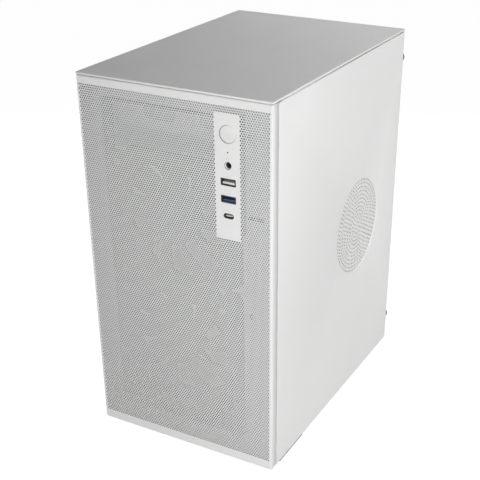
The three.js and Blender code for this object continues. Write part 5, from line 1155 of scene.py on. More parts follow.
# Half the distance between two neighbouring screws of a fan, by the fan's size.
FAN_SCREWS = {120: 52.5, 92: 41.25}


def screws_round(centre, reach):
    """The four corners of a square of screws."""
    return [(centre[0] + a * reach, centre[1] + b * reach) for a in (-1, 1) for b in (-1, 1)]


class TOWER_OT_fasteners(bpy.types.Operator):
    """Thumbscrews of the side covers, and the small screws of fans, power supply, slot plate and board"""

    bl_idname = "tower.fasteners"
    bl_label = "Screws"

    def execute(self, context):
        for corner in CORNERS:
            self.thumbscrew("thumbscrew_" + corner, "screw_" + corner)
        heads, crosses = bmesh.new(), bmesh.new()
        for place, radius, height in self.small_screws():
            add_screw_head(heads, place, radius, height)
            add_cross(crosses, place, radius, height)
        finish_piece("case_screws", heads, "case", "steel")
        # The dark crosses over the crowns are painted shade of the cross recesses.
        finish_piece("case_screw_cross_shade", crosses, "case", "dark_metal_and_recess_shade", smooth=0)
        return {"FINISHED"}

    def thumbscrew(self, name, body):
        """Knurled head with a dished end on a short threaded shank; the dark cross in the dish is painted
        shade.
        """
        low, high = case_box(name)
        x, z = (low.x + high.x) / 2, (low.z + high.z) / 2
        radius = (high.x - low.x) / 2
        head, length, sides, groove = 6.2, 13.2, 56, 0.94
        place = along("y", x, high.y - head, z)
        mesh = bmesh.new()
        grip = bmesh.ops.create_cone(
            mesh, cap_ends=False, segments=sides, radius1=radius, radius2=radius, depth=head - 1.3,
            matrix=Matrix.Translation((0, 0, head / 2 + 0.15)),
        )["verts"]
        for vert in grip:
            tooth = round(math.atan2(vert.co.y, vert.co.x) / (2 * math.pi / sides))
            if tooth % 2:
                vert.co.x *= groove
                vert.co.y *= groove
        bmesh.ops.transform(mesh, matrix=place, verts=grip)
        shank = [
            (radius * 0.97, 0.8), (radius * 0.9, 0.35), (radius * 0.55, 0.35), (radius * 0.55, 0.02),
            (1.7, 0.02), (1.7, -1.0), (1.75, -1.2),
        ]
        for turn in range(9):
            shank += [(1.75, -1.5 - turn * 0.6), (1.45, -1.8 - turn * 0.6)]
        shank += [(1.2, head - length), (0, head - length)]
        add_lathe(mesh, shank, 32, place)
        dish = [
            (radius * 0.97, head - 0.5), (radius * 0.9, head - 0.02), (radius * 0.62, head - 0.02),
            (radius * 0.52, head - 0.6), (0, head - 0.6),
        ]
        add_lathe(mesh, dish, 32, place)
        finish_piece(name + "_body", mesh, body, "dark_metal_and_recess_shade", [name])
        # The cross is a darker block just over the dish's floor: painted shade of the recess.
        recess = bmesh.new()
        for wide, tall in ((2.3, 0.42), (0.42, 2.3)):
            add_block(recess, (-wide, -tall, head - 1.4), (wide, tall, head - 0.57), place=place)
        finish_piece(name + "_cross_shade", recess, body, "moulding_and_recess_shade", smooth=0)

    def small_screws(self):
        """Place, radius and height of every small screw head."""
        found = []
        bracket = case_box("fan_bracket")[0].y
        for fan in ("front_fan_lower_frame", "front_fan_upper_frame"):
            middle = middle_of(fan)
            for x, z in screws_round((middle.x, middle.z), FAN_SCREWS[120]):
                found.append((laid("y", x, bracket, z), 3.2, 1.1))
        rear = case_box("chassis_rear")[1].y
        middle = middle_of("rear_fan_frame")
        for x, z in screws_round((middle.x, middle.z), FAN_SCREWS[92]):
            found.append((along("y", x, rear, z), 3.3, 1.3))
        low, high = case_box("psu_case")
        for z in (low.z + 5, high.z - 5):
            for x in (low.x + 5, high.x - 5):
                found.append((along("y", x, rear, z), 3.4, 1.3))
        low, high = case_box("slot_access_plate")
        found.append((along("y", (low.x + high.x) / 2, high.y, low.z + 30), 3.4, 1.3))
        low, high = case_box("motherboard")
        facing = laid("x", 0, 0, 0) @ Matrix.Rotation(math.pi, 4, "X")
        for y in (low.y + 8, high.y - 8):
            for z in (low.z + 8, low.z + 122, high.z - 8):
                found.append((Matrix.Translation((low.x, y, z)) @ facing, 3.0, 1.3))
        return found


class TOWER_OT_feet(bpy.types.Operator):
    """Feet: a moulded block with rounded sides, and a ribbed rubber pad under it"""

    bl_idname = "tower.feet"
    bl_label = "Feet"

    def execute(self, context):
        for name in ("foot_front_left", "foot_front_right", "foot_rear_left", "foot_rear_right"):
            self.foot(name, pad=2.0)
        return {"FINISHED"}

    def foot(self, name, pad):
        """One foot. The rubber takes its lowest part, pad high."""
        low, high = case_box(name)
        foot = low.z + pad
        body = bmesh.new()
        outline = add_box_edges(body, laid("z", 0, 0, foot), low.x, high.x, low.y, high.y, 3.0, 5)
        add_plate(body, outline, (0, 0, 1), high.z - low.z - pad)
        rim = [
            edge for edge in body.edges
            if all(vert.co.z < foot + NEAR for vert in edge.verts)
            and len({round(face.normal.z) for face in edge.link_faces}) > 1
        ]
        soften(body, rim, 0.7, 3)
        finish_piece(name + "_block", body, "case", "moulding_and_recess_shade", [name])
        rubber = bmesh.new()
        sole = laid("z", 0, 0, low.z + 0.6)
        outline = add_box_edges(
            rubber, sole, low.x + 1.5, high.x - 1.5, low.y + 1.5, high.y - 1.5, 2.0, 4
        )
        add_plate(rubber, outline, (0, 0, 1), pad - 0.4)
        ribs = 9
        for index in range(ribs):
            y = low.y + 6 + index * (high.y - low.y - 12) / (ribs - 1)
            add_block(rubber, (low.x + 2.6, y - 1.4, low.z), (high.x - 2.6, y + 1.4, low.z + 0.8), 0.25)
        finish_piece(name + "_pad", rubber, "case", "rubber")


# ---------------------------------------------------------------- fans
# Body, axis, size, depth, hub radius and number of blades of each fan.
FANS = {
    "front_fan_lower": ("front_lower_impeller", "y", 120, 25, 20, 9),
    "front_fan_upper": ("front_upper_impeller", "y", 120, 25, 20, 9),
    "rear_fan": ("rear_impeller", "y", 92, 25, 17, 7),
    "cooler_fan": ("cooler_impeller", "x", 92, 22, 16, 7),
    "psu_fan": ("supply_impeller", "z", 120, 22, 20, 9),
}
# Share of a fan's depth that its motor takes, and the gap between the motor and the turning hub.
MOTOR_SHARE = 0.12
HUB_GAP = 0.3
# Turns that point a fan's +Z against the way its air goes.
FAN_TURNS = {
    "x": Matrix.Rotation(-math.pi / 2, 4, "Y"),
    "y": Matrix.Rotation(math.pi / 2, 4, "X"),
    "z": Matrix.Rotation(math.pi, 4, "X"),
}


class TOWER_OT_fans(bpy.types.Operator):
    """Fans: ducted frames with screw lugs, swept blades round their hubs, and plain stickers"""

    bl_idname = "tower.fans"
    bl_label = "Fans"

    def execute(self, context):
        for name, (body, axis, size, depth, hub, blades) in FANS.items():
            high = case_box(name + "_rotor")[1]
            place = Matrix.Translation(middle_of(name + "_frame"))
            index = "xyz".index(axis)
            place.translation[index] = high[index] + MOTOR_SHARE * depth + HUB_GAP
            place @= FAN_TURNS[axis]
            self.impeller(name, body, size, depth, hub, blades, place)
            if name != "cooler_fan":
                self.frame(name, size, depth, hub, place)
            self.sticker(name, hub, place)
        return {"FINISHED"}

    def impeller(self, name, body, size, depth, hub, blades, place):
        """Hub like a cup, and blades that sweep forward and flatten towards their tips."""
        low, high = MOTOR_SHARE * depth + HUB_GAP, 0.92 * depth
        cup = bmesh.new()
        profile = [
            (0, 0.7 * depth + 0.3), (2.3, 0.7 * depth + 0.3), (2.3, low), (hub - 0.4, low), (hub, low + 0.4),
            (hub, high - 1.6), (hub - 0.3, high - 0.7), (hub - 1.0, high - 0.15), (hub - 1.8, high),
            (0.42 * hub, high), (0.38 * hub, high - 0.35), (0, high - 0.35),
        ]
        add_lathe(cup, profile, 56, place)
        finish_piece(name + "_hub", cup, body, "fan", [name + "_rotor"])
        mesh = bmesh.new()
        chord, taper, sweep = 0.75 * 2 * math.pi / blades, 0.15, 0.3
        pitch, flatten = 0.5, 0.35
        inner, outer = hub - 1.2, size / 2 - 2.8
        thickness = 0.065 * depth
        for index in range(blades):
            verts = bmesh.ops.create_grid(mesh, x_segments=12, y_segments=9, size=0.5)["verts"]
            for vert in verts:
                distance, across = vert.co.x + 0.5, vert.co.y
                radius = inner + distance * (outer - inner)
                angle = across * chord * (1 - taper * distance) + sweep * distance
                angle += index * 2 * math.pi / blades
                rise = pitch * across * (1 - flatten * distance)
                level = depth * (0.52 + rise) + thickness / 2
                vert.co = (radius * math.cos(angle), radius * math.sin(angle), level)
        bmesh.ops.transform(mesh, matrix=place, verts=mesh.verts)
        finish_piece(name + "_blades", mesh, body, "fan", wall=thickness)

    def frame(self, name, size, depth, hub, place):
        """Two flanges round a duct, the motor's back on four arms, and hollow posts for the screws."""
        half = size / 2
        bore, wall = half - 1.6, half - 0.1
        screws = screws_round((0, 0), FAN_SCREWS[size])
        flange, motor = 4.0, MOTOR_SHARE * depth
        upper = depth - flange
        mesh = bmesh.new()
        for level in (0, upper):
            flat = Matrix.Translation((0, 0, level))
            loops = add_box_edges(mesh, flat, -half, half, -half, half, 0.07 * size, 6)
            loops += add_ring_edges(mesh, flat, bore, 72, 0, 0)
            for x, y in screws:
                loops += add_ring_edges(mesh, flat, 2.2, 12, x, y)
            add_plate(mesh, loops, (0, 0, 1), flange)
        identity = Matrix.Identity(4)
        duct = [(bore, flange), (wall, flange), (wall, upper), (bore, upper), (bore, flange)]
        add_lathe(mesh, duct, 72, identity)
        cup = [
            (0, 0.35), (hub - 1.4, 0.35), (hub - 1.4, 0.02), (hub - 0.4, 0.02), (hub, 0.4), (hub, motor),
            (0, motor),
        ]
        add_lathe(mesh, cup, 48, identity)
        for index in range(4):
            turn = Matrix.Rotation(math.pi / 4 + index * math.pi / 2, 4, "Z")
            width = 0.0175 * size
            add_block(mesh, (hub - 0.8, -width, 0.05), (half - 1.2, width, motor), 0.5, 2, turn)
        post = [(2.2, flange), (3.0, flange), (3.0, upper), (2.2, upper), (2.2, flange)]
        for x, y in screws:
            add_ring(mesh, Matrix.Translation((x, y, depth / 2)), 3.0, 0.5, 16, 6)
            add_lathe(mesh, post, 16, Matrix.Translation((x, y, 0)))
        bmesh.ops.transform(mesh, matrix=place, verts=mesh.verts)
        finish_piece(name + "_housing", mesh, "case", "fan", [name + "_frame"])

    def sticker(self, name, hub, place):
        """Plain round label sunk in the motor's back."""
        mesh = bmesh.new()
        add_lathe(mesh, [(0, 0.25), (hub - 2.2, 0.25), (hub - 2.2, 0.34), (0, 0.34)], 48, place)
        finish_piece(name + "_label", mesh, "case", "label")


# ---------------------------------------------------------------- rear sockets
class TOWER_OT_rear_sockets(bpy.types.Operator):
    """Rear sockets: coloured sound rings, tongues and contacts in the data and video mouths"""

    bl_idname = "tower.rear_sockets"
    bl_label = "Rear Sockets"

    def execute(self, context):
        self.sound_rings()
        contacts = bmesh.new()
        self.data_tongues(contacts)
        self.video_tongues(contacts)
        finish_piece("rear_contacts", contacts, "case", "gold", smooth=0)
        self.shield_beads()
        return {"FINISHED"}

    def sound_rings(self):
        """Coloured rings in the mouths of the three sound sockets."""
        low, high = case_box("rear_audio_jacks")
        middle = (low.z + high.z) / 2
        collar = [(1.8, -0.5), (1.8, 0.25), (2.1, 0.5), (3.6, 0.5), (3.9, 0.2), (3.9, -0.2), (1.8, -0.5)]
        for finish, out in (("socket_pink", 7), ("socket_green", 18.5), ("socket_sky", 30)):
            ring = bmesh.new()
            add_lathe(ring, collar, 32, along("y", high.x - out, high.y, middle))
            finish_piece("rear_" + finish, ring, "case", finish)

    def data_tongues(self, contacts):
        """Blue tongues of the four data sockets. Their contacts go into the shared mesh."""
        mesh = bmesh.new()
        low, high = case_box("rear_usb_ports")
        for up in (8.5, 25.5):
            for out in (4.2, 11.8):
                x, z = high.x - out, low.z + up
                add_block(mesh, (x + 0.3, high.y - 11.8, z - 5.7), (x + 2.1, high.y - 0.8, z + 5.7), 0.15, 1)
                for index in range(4):
                    pin = z - 3.5 + index * 7 / 3
                    add_block(contacts, (x + 0.22, high.y - 10, pin - 0.5), (x + 0.4, high.y - 2, pin + 0.5))
        finish_piece("rear_usb_tongues", mesh, "case", "socket_blue")

    def video_tongues(self, contacts):
        """Black tongues of the two video sockets. Their contacts go into the shared mesh."""
        mesh = bmesh.new()
        low, high = case_box("rear_video_ports")
        x = (low.x + high.x) / 2
        for up in (11, 31):
            z = low.z + up
            add_block(mesh, (x - 0.85, high.y - 11.8, z - 7.15), (x + 0.85, high.y - 0.9, z + 7.15), 0.15, 1)
            for index in range(9):
                pin = z - 6 + index * 1.5
                add_block(contacts, (x - 0.95, high.y - 10, pin - 0.3), (x + 0.95, high.y - 2, pin + 0.3))
        finish_piece("rear_video_tongues", mesh, "case", "moulding_and_recess_shade")

    def shield_beads(self):
        """Small dimples pressed into the shield between its openings."""
        low, high = case_box("io_shield")
        mesh = bmesh.new()
        bead = [(0, 0.28), (0.9, 0.22), (1.5, 0.08), (1.8, -0.05), (0, -0.05)]
        for index in range(5):
            z = low.z + 26 + index * 8
            for x in (low.x + 8, low.x + 17, low.x + 26):
                add_lathe(mesh, bead, 16, along("y", x, high.y, z))
        finish_piece("io_shield_beads", mesh, "case", "zinc")


# ---------------------------------------------------------------- power supply
class TOWER_OT_power_supply(bpy.types.Operator):
    """Power supply details: wire guard, inlet pins and the marks on its rocker"""

    bl_idname = "tower.power_supply"
    bl_label = "Power Supply"

    def execute(self, context):
        self.guard()
        self.inlet()
        self.rocker()
        self.label()
        return {"FINISHED"}

    def guard(self):
        """Six wire rings on four wire arms that end in screw eyes."""
        low, high = case_box("psu_fan_guard")
        middle = (low + high) / 2
        wire, level = 0.75, high.z - 0.9
        mesh = bmesh.new()
        place = Matrix.Translation((middle.x, middle.y, level))
        for share in (0.16, 0.32, 0.49, 0.66, 0.83, 1.0):
            add_ring(mesh, place, 59 * share, wire, 64, 8)
        for index in range(4):
            turn = Matrix.Rotation(math.pi / 4 + index * math.pi / 2, 4, "Z")
            spot = Matrix.Translation((middle.x, middle.y, low.z + wire)) @ turn
            add_rod(mesh, spot @ Matrix.Translation((9.4, 0, 0)) @ AXIS_TURNS["x"], wire, 60.5, sides=12)
            add_ring(mesh, spot @ Matrix.Translation((72.6, 0, 0)), 3.0, wire, 24, 8)
        finish_piece("psu_wire_guard", mesh, "case", "steel", ["psu_fan_guard"])

    def inlet(self):
        """The inlet's three flat pins."""
        low, high = case_box("psu_inlet")
        middle = (low + high) / 2
        mesh = bmesh.new()
        for across, up in ((-7, -2.2), (7, -2.2), (0, 2.6)):
            x, z = middle.x + across, middle.z + up
            near, far = (x - 1.05, low.y + 2.2, z - 2.05), (x + 1.05, high.y - 2.9, z + 2.05)
            add_block(mesh, near, far, 0.3, 2)
        finish_piece("psu_inlet_pins", mesh, "case", "steel")

    def rocker(self):
        """White line and ring on the rocker's two halves."""
        pivot = (middle_of("psu_switch").x, case_box("psu_case")[1].y - 2, case_box("psu_inlet")[0].z - 22)
        place = Matrix.Translation(pivot) @ Matrix.Rotation(math.radians(8), 4, "X")
        slope = math.atan2(1.4, 7.4)
        mesh = bmesh.new()
        upper = place @ Matrix.Translation((0, 3.16, 4)) @ Matrix.Rotation(-slope, 4, "X")
        add_block(mesh, (-0.32, -0.2, -1.5), (0.32, 0.05, 1.5), place=upper)
        lower = place @ Matrix.Translation((0, 3.16, -4)) @ Matrix.Rotation(slope, 4, "X")
        ring = [(1.1, -0.2), (1.1, 0.05), (1.65, 0.05), (1.65, -0.2), (1.1, -0.2)]
        add_lathe(mesh, ring, 28, lower @ along("y", 0, 0, 0))
        finish_piece("psu_switch_marks", mesh, "supply_rocker", "socket_white", smooth=0)

    def label(self):
        """Bare rating plate on the power supply's left side."""
        low, high = case_box("psu_case")
        mesh = bmesh.new()
        outline = add_box_edges(
            mesh, laid("x", low.x - 0.08, 0, 0), low.y + 20, high.y - 20, low.z + 14, high.z - 14, 2.0, 4
        )
        add_plate(mesh, outline, (1, 0, 0), 0.1)
        finish_piece("psu_label", mesh, "case", "label", smooth=0)


# ---------------------------------------------------------------- board, memory, drive
class TOWER_OT_board_parts(bpy.types.Operator):
    """What stands on the board: chokes, capacitors, chips, headers, connectors, cell and finned coolers"""

    bl_idname = "tower.board_parts"
    bl_label = "Board Parts"

    def execute(self, context):
        self.face, self.front, self.foot = case_box("motherboard")[0]
        self.chokes()
        self.capacitors()
        self.chips()
        self.connectors()
        self.cell()
        self.supply_cooler()
        return {"FINISHED"}

    def stand(self, mesh, across, up, depth, height, tall, bevel=0.0):
        """Block on the board. across runs from its front edge, up from its foot."""
        y, z = self.front + across, self.foot + up
        low = (self.face - tall, y - depth / 2, z - height / 2)
        add_block(mesh, low, (self.face, y + depth / 2, z + height / 2), bevel)

    def upright(self, across, up):
        """Place on the board's face whose +Z runs away from it."""
        spot = Matrix.Translation((self.face, self.front + across, self.foot + up))
        return spot @ AXIS_TURNS["x"] @ Matrix.Rotation(math.pi, 4, "X")

    def chokes(self):
        """The processor supply's six chokes, each with its switches."""
        mesh, caps = bmesh.new(), bmesh.new()
        for index in range(6):
            self.stand(mesh, 153.5, 136 + index * 10, 8.2, 8.2, 6.2, 0.9)
            self.stand(caps, 163, 136 + index * 10, 6, 5, 1.1, 0.2)
            self.stand(caps, 163, 141 + index * 10, 3, 2, 0.8, 0.1)
        finish_piece("board_chokes", mesh, "case", "cast")
        finish_piece("board_switches", caps, "case", "chip")

    def capacitors(self):
        """Cans with a grooved foot and a dark mark on their crown."""
        cans, tops = bmesh.new(), bmesh.new()
        rows = [(53, 138 + index * 8.5) for index in range(8)]
        rows += [(188, 6 + index * 8.2) for index in range(3)]
        rows += [(160, 108), (168, 108), (176, 108), (12, 118), (12, 110)]
        can = [
            (0, 0), (3.0, 0), (3.0, 0.8), (2.8, 1.2), (3.0, 1.6), (3.0, 6.6), (2.7, 7.0), (2.3, 7.0),
            (2.3, 6.85), (0, 6.85),
        ]
        for across, up in rows:
            place = self.upright(across, up)
            add_lathe(cans, can, 20, place)
            add_block(tops, (-2.1, 0.7, 6.8), (2.1, 2.0, 6.9), place=place)
        finish_piece("board_capacitors", cans, "case", "aluminium")
        finish_piece("board_capacitor_marks", tops, "case", "chip", smooth=0)

    def chips(self):
        """Chips with legs at both sides, and small parts strewn over the free ground."""
        bodies, legs, small = bmesh.new(), bmesh.new(), bmesh.new()
        # Across, up, depth, height and thickness of each chip.
        places = (
            (168, 22, 9, 9, 1.4), (150, 12, 7, 10, 1.4), (110, 16, 5, 8, 1.2), (92, 98, 10, 14, 1.3),
            (186, 52, 8, 8, 1.2), (26, 44, 6, 6, 1.2), (118, 46, 6, 8, 1.3), (60, 226, 6, 6, 1.0),
        )
        for across, up, depth, height, tall in places:
            self.stand(bodies, across, up, depth, height, tall, 0.15)
            count = int(height / 1.1)
            for index in range(count):
                pin = up - height / 2 + (index + 0.5) * height / count
                self.stand(legs, across, pin, depth + 2.2, 0.45, 0.35)
        # Ground that larger parts take: from and to across the board, from and to up it.
        taken = (
            (54, 152, 118, 226), (17, 70, 88, 300), (178, 300, 84, 300), (28, 72, 0, 56), (58, 162, 62, 78),
            (118, 146, 20, 64), (0, 20, 0, 26), (0, 20, 56, 96), (0, 20, 136, 196),
        )
        for index in range(150):
            across = 14 + (index * 37) % 172
            up = 6 + (index * 61) % 230
            if any(left < across < right and foot < up < top for left, right, foot, top in taken):
                continue
            tall, wide = (1.6, 0.8) if index % 2 else (0.8, 1.6)
            self.stand(small, across, up, tall, wide, 0.55, 0.1)
        finish_piece("board_chips", bodies, "case", "chip")
        finish_piece("board_chip_legs", legs, "case", "steel", smooth=0)
        finish_piece("board_small_parts", small, "case", "copper", smooth=0)

    def connectors(self):
        """Drive sockets, pin headers, fan headers and a short card slot."""
        pin_pitch = 2.54
        black, pins, white = bmesh.new(), bmesh.new(), bmesh.new()
        for index in range(4):
            self.stand(black, 8.5, 60 + index * 9.5, 15, 7, 8.5, 0.4)
            self.stand(pins, 8.5, 60 + index * 9.5, 10.5, 0.9, 8.6)
        for across, columns in ((36, 5), (54, 5), (74, 5), (98, 4), (130, 5)):
            width = columns * pin_pitch + 2
            self.stand(black, across, 5.5, width, 6.6, 2.6, 0.2)
            for column in range(columns):
                for row in (-1.27, 1.27):
                    pin = across + (column - (columns - 1) / 2) * pin_pitch
                    self.stand(pins, pin, 5.5 + row, 0.64, 0.64, 8.4)
        for across, up in ((56, 236), (72, 236), (140, 232), (176, 96)):
            self.stand(white, across, up, 10.2, 4.4, 2.8, 0.2)
            self.stand(white, across, up - 1.9, 6.0, 0.9, 8.0, 0.1)
            for column in range(4):
                self.stand(pins, across + (column - 1.5) * pin_pitch, up + 0.6, 0.6, 0.6, 7.6)
        for wall in (-1, 1):
            self.stand(black, 134, 29.4 + wall * 2.4, 25, 2.6, 11, 0.3)
        self.stand(black, 134, 29.4, 25, 5, 2, 0.1)
        finish_piece("board_connectors", black, "case", "moulding_and_recess_shade")
        finish_piece("board_pins", pins, "case", "gold", smooth=0)
        finish_piece("board_fan_headers", white, "case", "socket_white")

    def cell(self):
        """Coin cell in its round holder."""
        holder, cell = bmesh.new(), bmesh.new()
        place = self.upright(166, 50)
        rim = [(0, 0), (11.4, 0), (11.4, 3.4), (10.9, 3.7), (10.4, 3.4), (10.4, 1.2), (0, 1.2)]
        add_lathe(holder, rim, 40, place)
        add_lathe(cell, [(0, 1.2), (10.1, 1.2), (10.1, 3.6), (9.6, 4.1), (0, 4.1)], 40, place)
        finish_piece("board_cell_holder", holder, "case", "moulding_and_recess_shade")
        finish_piece("board_cell", cell, "case", "steel")

    def supply_cooler(self):
        """Finned block over the processor's supply."""
        mesh = bmesh.new()
        self.stand(mesh, 170, 166, 8, 62, 9, 0.6)
        for index in range(10):
            self.stand(mesh, 170, 138.5 + index * 6.1, 8, 2.6, 16, 0.5)
        finish_piece("board_supply_cooler", mesh, "case", "heat_spreader")


class TOWER_OT_memory(bpy.types.Operator):
    """Memory modules: lacquered cards with ribbed covers and gold contacts"""

    bl_idname = "tower.memory"
    bl_label = "Memory"

    def execute(self, context):
        for name in ("memory_module_1", "memory_module_2"):
            low, high = case_box(name)
            y = (low.y + high.y) / 2
            length = high.z - low.z
            card = bmesh.new()
            add_block(card, (low.x + 0.6, y - 0.62, low.z), (high.x, y + 0.62, high.z), 0.1, 1)
            finish_piece(name + "_card", card, "case", "board", [name])
            cover = bmesh.new()
            bottom = high.x - 6.2
            add_block(cover, (low.x, y - 1.35, low.z + 2), (bottom, y + 1.35, high.z - 2), 0.45, 2)
            ribs = 15
            for index in range(ribs):
                z = low.z + 14 + index * (length - 28) / (ribs - 1)
                add_block(cover, (low.x + 3, low.y, z - 1.7), (bottom - 4, high.y, z + 1.7), 0.25, 1)
            for z in (low.z + 7.5, high.z - 7.5):
                near, far = (low.x + 1.5, low.y + 0.1, z - 3), (bottom - 1.5, high.y - 0.1, z + 3)
                add_block(cover, near, far, 0.3, 1)
            finish_piece(name + "_cover", cover, "case", "heat_spreader")
            contacts = bmesh.new()
            count, key_notch = 50, 61
            for index in range(count):
                z = low.z + 4 + index * (length - 8) / (count - 1)
                if abs(z - low.z - key_notch) > 3:
                    near, far = (high.x - 3.6, y - 0.66, z - 0.75), (high.x - 0.3, y + 0.66, z + 0.75)
                    add_block(contacts, near, far)
            finish_piece(name + "_contacts", contacts, "case", "gold", smooth=0)
        return {"FINISHED"}


class TOWER_OT_drive(bpy.types.Operator):
    """Drive: cast body, pressed lid with a raised spindle boss, bare label, board with chips, and its socket
    """

    bl_idname = "tower.drive"
    bl_label = "Drive"

    def execute(self, context):
        low, high = case_box("hard_drive")
        body = bmesh.new()
        add_block(body, (low.x, low.y, low.z + 1.6), (high.x - 7.2, high.y, high.z - 0.9), 0.9, 3)
        add_block(body, (high.x - 9, low.y, low.z + 6.4), (high.x, high.y, high.z - 0.9), 0.9, 3)
        add_block(body, (high.x - 9, low.y + 61, low.z + 1.6), (high.x, high.y, low.z + 8), 0.5, 2)
        finish_piece("drive_casting", body, "case", "cast", ["hard_drive"])
        lid = bmesh.new()
        level = high.z - 1.2
        outline = add_box_edges(
            lid, laid("z", 0, 0, level), low.x + 2, high.x - 8, low.y + 1.5, high.y - 1.5, 6.0, 5
        )
        add_plate(lid, outline, (0, 0, 1), 0.8)
        boss = laid("z", low.x + 52, (low.y + high.y) / 2, level + 0.7)
        add_lathe(lid, [(0, 0), (44, 0), (43, 0.28), (14, 0.28), (13, 0.05), (0, 0.05)], 64, boss)
        finish_piece("drive_lid", lid, "case", "steel")
        label = bmesh.new()
        outline = add_box_edges(
            label, laid("z", 0, 0, level + 1.0), low.x + 68, high.x - 16, low.y + 12, high.y - 12, 3.0, 4
        )
        add_plate(label, outline, (0, 0, 1), 0.08)
        finish_piece("drive_label", label, "case", "label", smooth=0)
        board = bmesh.new()
        add_block(board, (low.x + 30, low.y + 4, low.z + 0.6), (high.x - 8, high.y - 4, low.z + 1.7), 0.2, 1)
        finish_piece("drive_board", board, "case", "board")
        chips = bmesh.new()
        for x, y, wide, deep in ((-10, 80, 7, 7), (20, 60, 4.5, 6), (20, 110, 6, 4), (-35, 110, 4, 4)):
            add_block(chips, (x - wide, y - deep, low.z), (x + wide, y + deep, low.z + 0.8), 0.1, 1)
        near, far = (high.x - 7, low.y + 14, low.z + 2.4), (high.x - 0.6, low.y + 58, low.z + 5.6)
        add_block(chips, near, far, 0.3, 2)
        finish_piece("drive_chips", chips, "case", "chip")
        return {"FINISHED"}


# ---------------------------------------------------------------- leads
# Radius and route of each lead, in case millimetres.
LEADS = {
    "main_power_cable": (4.8, (
        (44, 143.3, 279.6), (44, 129.3, 279.6), (40, 109.3, 267.6), (30, 91.9, 235.6), (26, 87.9, 202),
        (32, 87.9, 182), (43.6, 87.9, 176),
    )),
    "processor_power_cable": (3.1, (
        (60, 143.3, 279.6), (60, 133.3, 279.6), (64, 119.3, 271), (76, 112, 271), (83, 124, 268),
        (83, 181, 257), (83, 234, 257), (77, 248, 257), (61.6, 250, 257), (45.6, 250, 254), (38.6, 250, 248),
        (47.6, 250, 245),
    )),
    "front_panel_cable": (2.5, (
        (55.8, 17.3, 242.7), (55.8, 21.3, 242.7), (55.8, 27.3, 237.7), (55.8, 31.3, 222.7), (55.8, 31.3, 150),
        (55.8, 33.3, 60), (53.8, 43.3, 30), (39.6, 77.9, 22), (39.6, 89.9, 22), (53.6, 91.9, 22),
    )),
}


class TOWER_OT_leads(bpy.types.Operator):
    """Leads inside the case: sleeved runs with their plugs"""

    bl_idname = "tower.leads"
    bl_label = "Leads"

    def execute(self, context):
        for name in LEADS:
            self.run(name)
        face = case_box("motherboard")[0].x - 0.3
        self.plug("main_plug", (face - 22, 82.9, 150), (face, 92.9, 202), 2, 12)
        self.plug("processor_plug", (face - 18, 241, 240), (face, 259, 250), 4, 2)
        self.plug("panel_plug", (face - 12, 87.9, 13), (face, 95.9, 31), 2, 5)
        return {"FINISHED"}

    def run(self, name):
        """Round sleeved lead drawn through its route's points."""
        radius, points = LEADS[name]
        curve = bpy.data.curves.new(name, "CURVE")
        curve.dimensions = "3D"
        curve.bevel_depth = radius
        curve.bevel_resolution = 6
        curve.resolution_u = 10
        curve.use_fill_caps = True
        spline = curve.splines.new("BEZIER")
        spline.bezier_points.add(len(points) - 1)
        for bend, spot in zip(spline.bezier_points, points):
            bend.co = spot
            bend.handle_left_type = bend.handle_right_type = "AUTO"
        drawn = bpy.data.objects.new(name + "_route", curve)
        bpy.context.scene.collection.objects.link(drawn)
        data = bpy.data.meshes.new_from_object(drawn.evaluated_get(bpy.context.evaluated_depsgraph_get()))
        bpy.data.objects.remove(drawn)
        mesh = bmesh.new()
        mesh.from_mesh(data)
        bpy.data.meshes.remove(data)
        finish_piece(name + "_sleeve", mesh, "case", "sleeve", [name])

    def plug(self, name, low, high, across, up):
        """Plug body, and the square cells of its wires on its outer face."""
        mesh = bmesh.new()
        add_block(mesh, (low[0] + 1.2, low[1], low[2]), high, 0.5, 2)
        deep, tall = (high[1] - low[1]) / across, (high[2] - low[2]) / up
        half = 0.4 * min(deep, tall)
        for column in range(across):
            for row in range(up):
                y, z = low[1] + (column + 0.5) * deep, low[2] + (row + 0.5) * tall
                add_block(mesh, (low[0], y - half, z - half), (low[0] + 1.5, y + half, z + half), 0.25, 1)
        finish_piece(name, mesh, "case", "moulding_and_recess_shade")


# ---------------------------------------------------------------- stage
# Strength of the floor's glow where it is seen directly, and how much of the glow is mixed in there.
FLOOR_GLOW = 1.13
FLOOR_GLOW_SHARE = 0.86


def seen_directly(tree):
    """1 on rays from the camera, through glass, or off a shiny surface; 0 on rays that only carry light."""
    path = tree.nodes.new("ShaderNodeLightPath")
    clear = calculate(tree, "MAXIMUM", path.outputs["Is Camera Ray"], path.outputs["Is Transmission Ray"])
    return calculate(tree, "MAXIMUM", clear, path.outputs["Is Glossy Ray"])


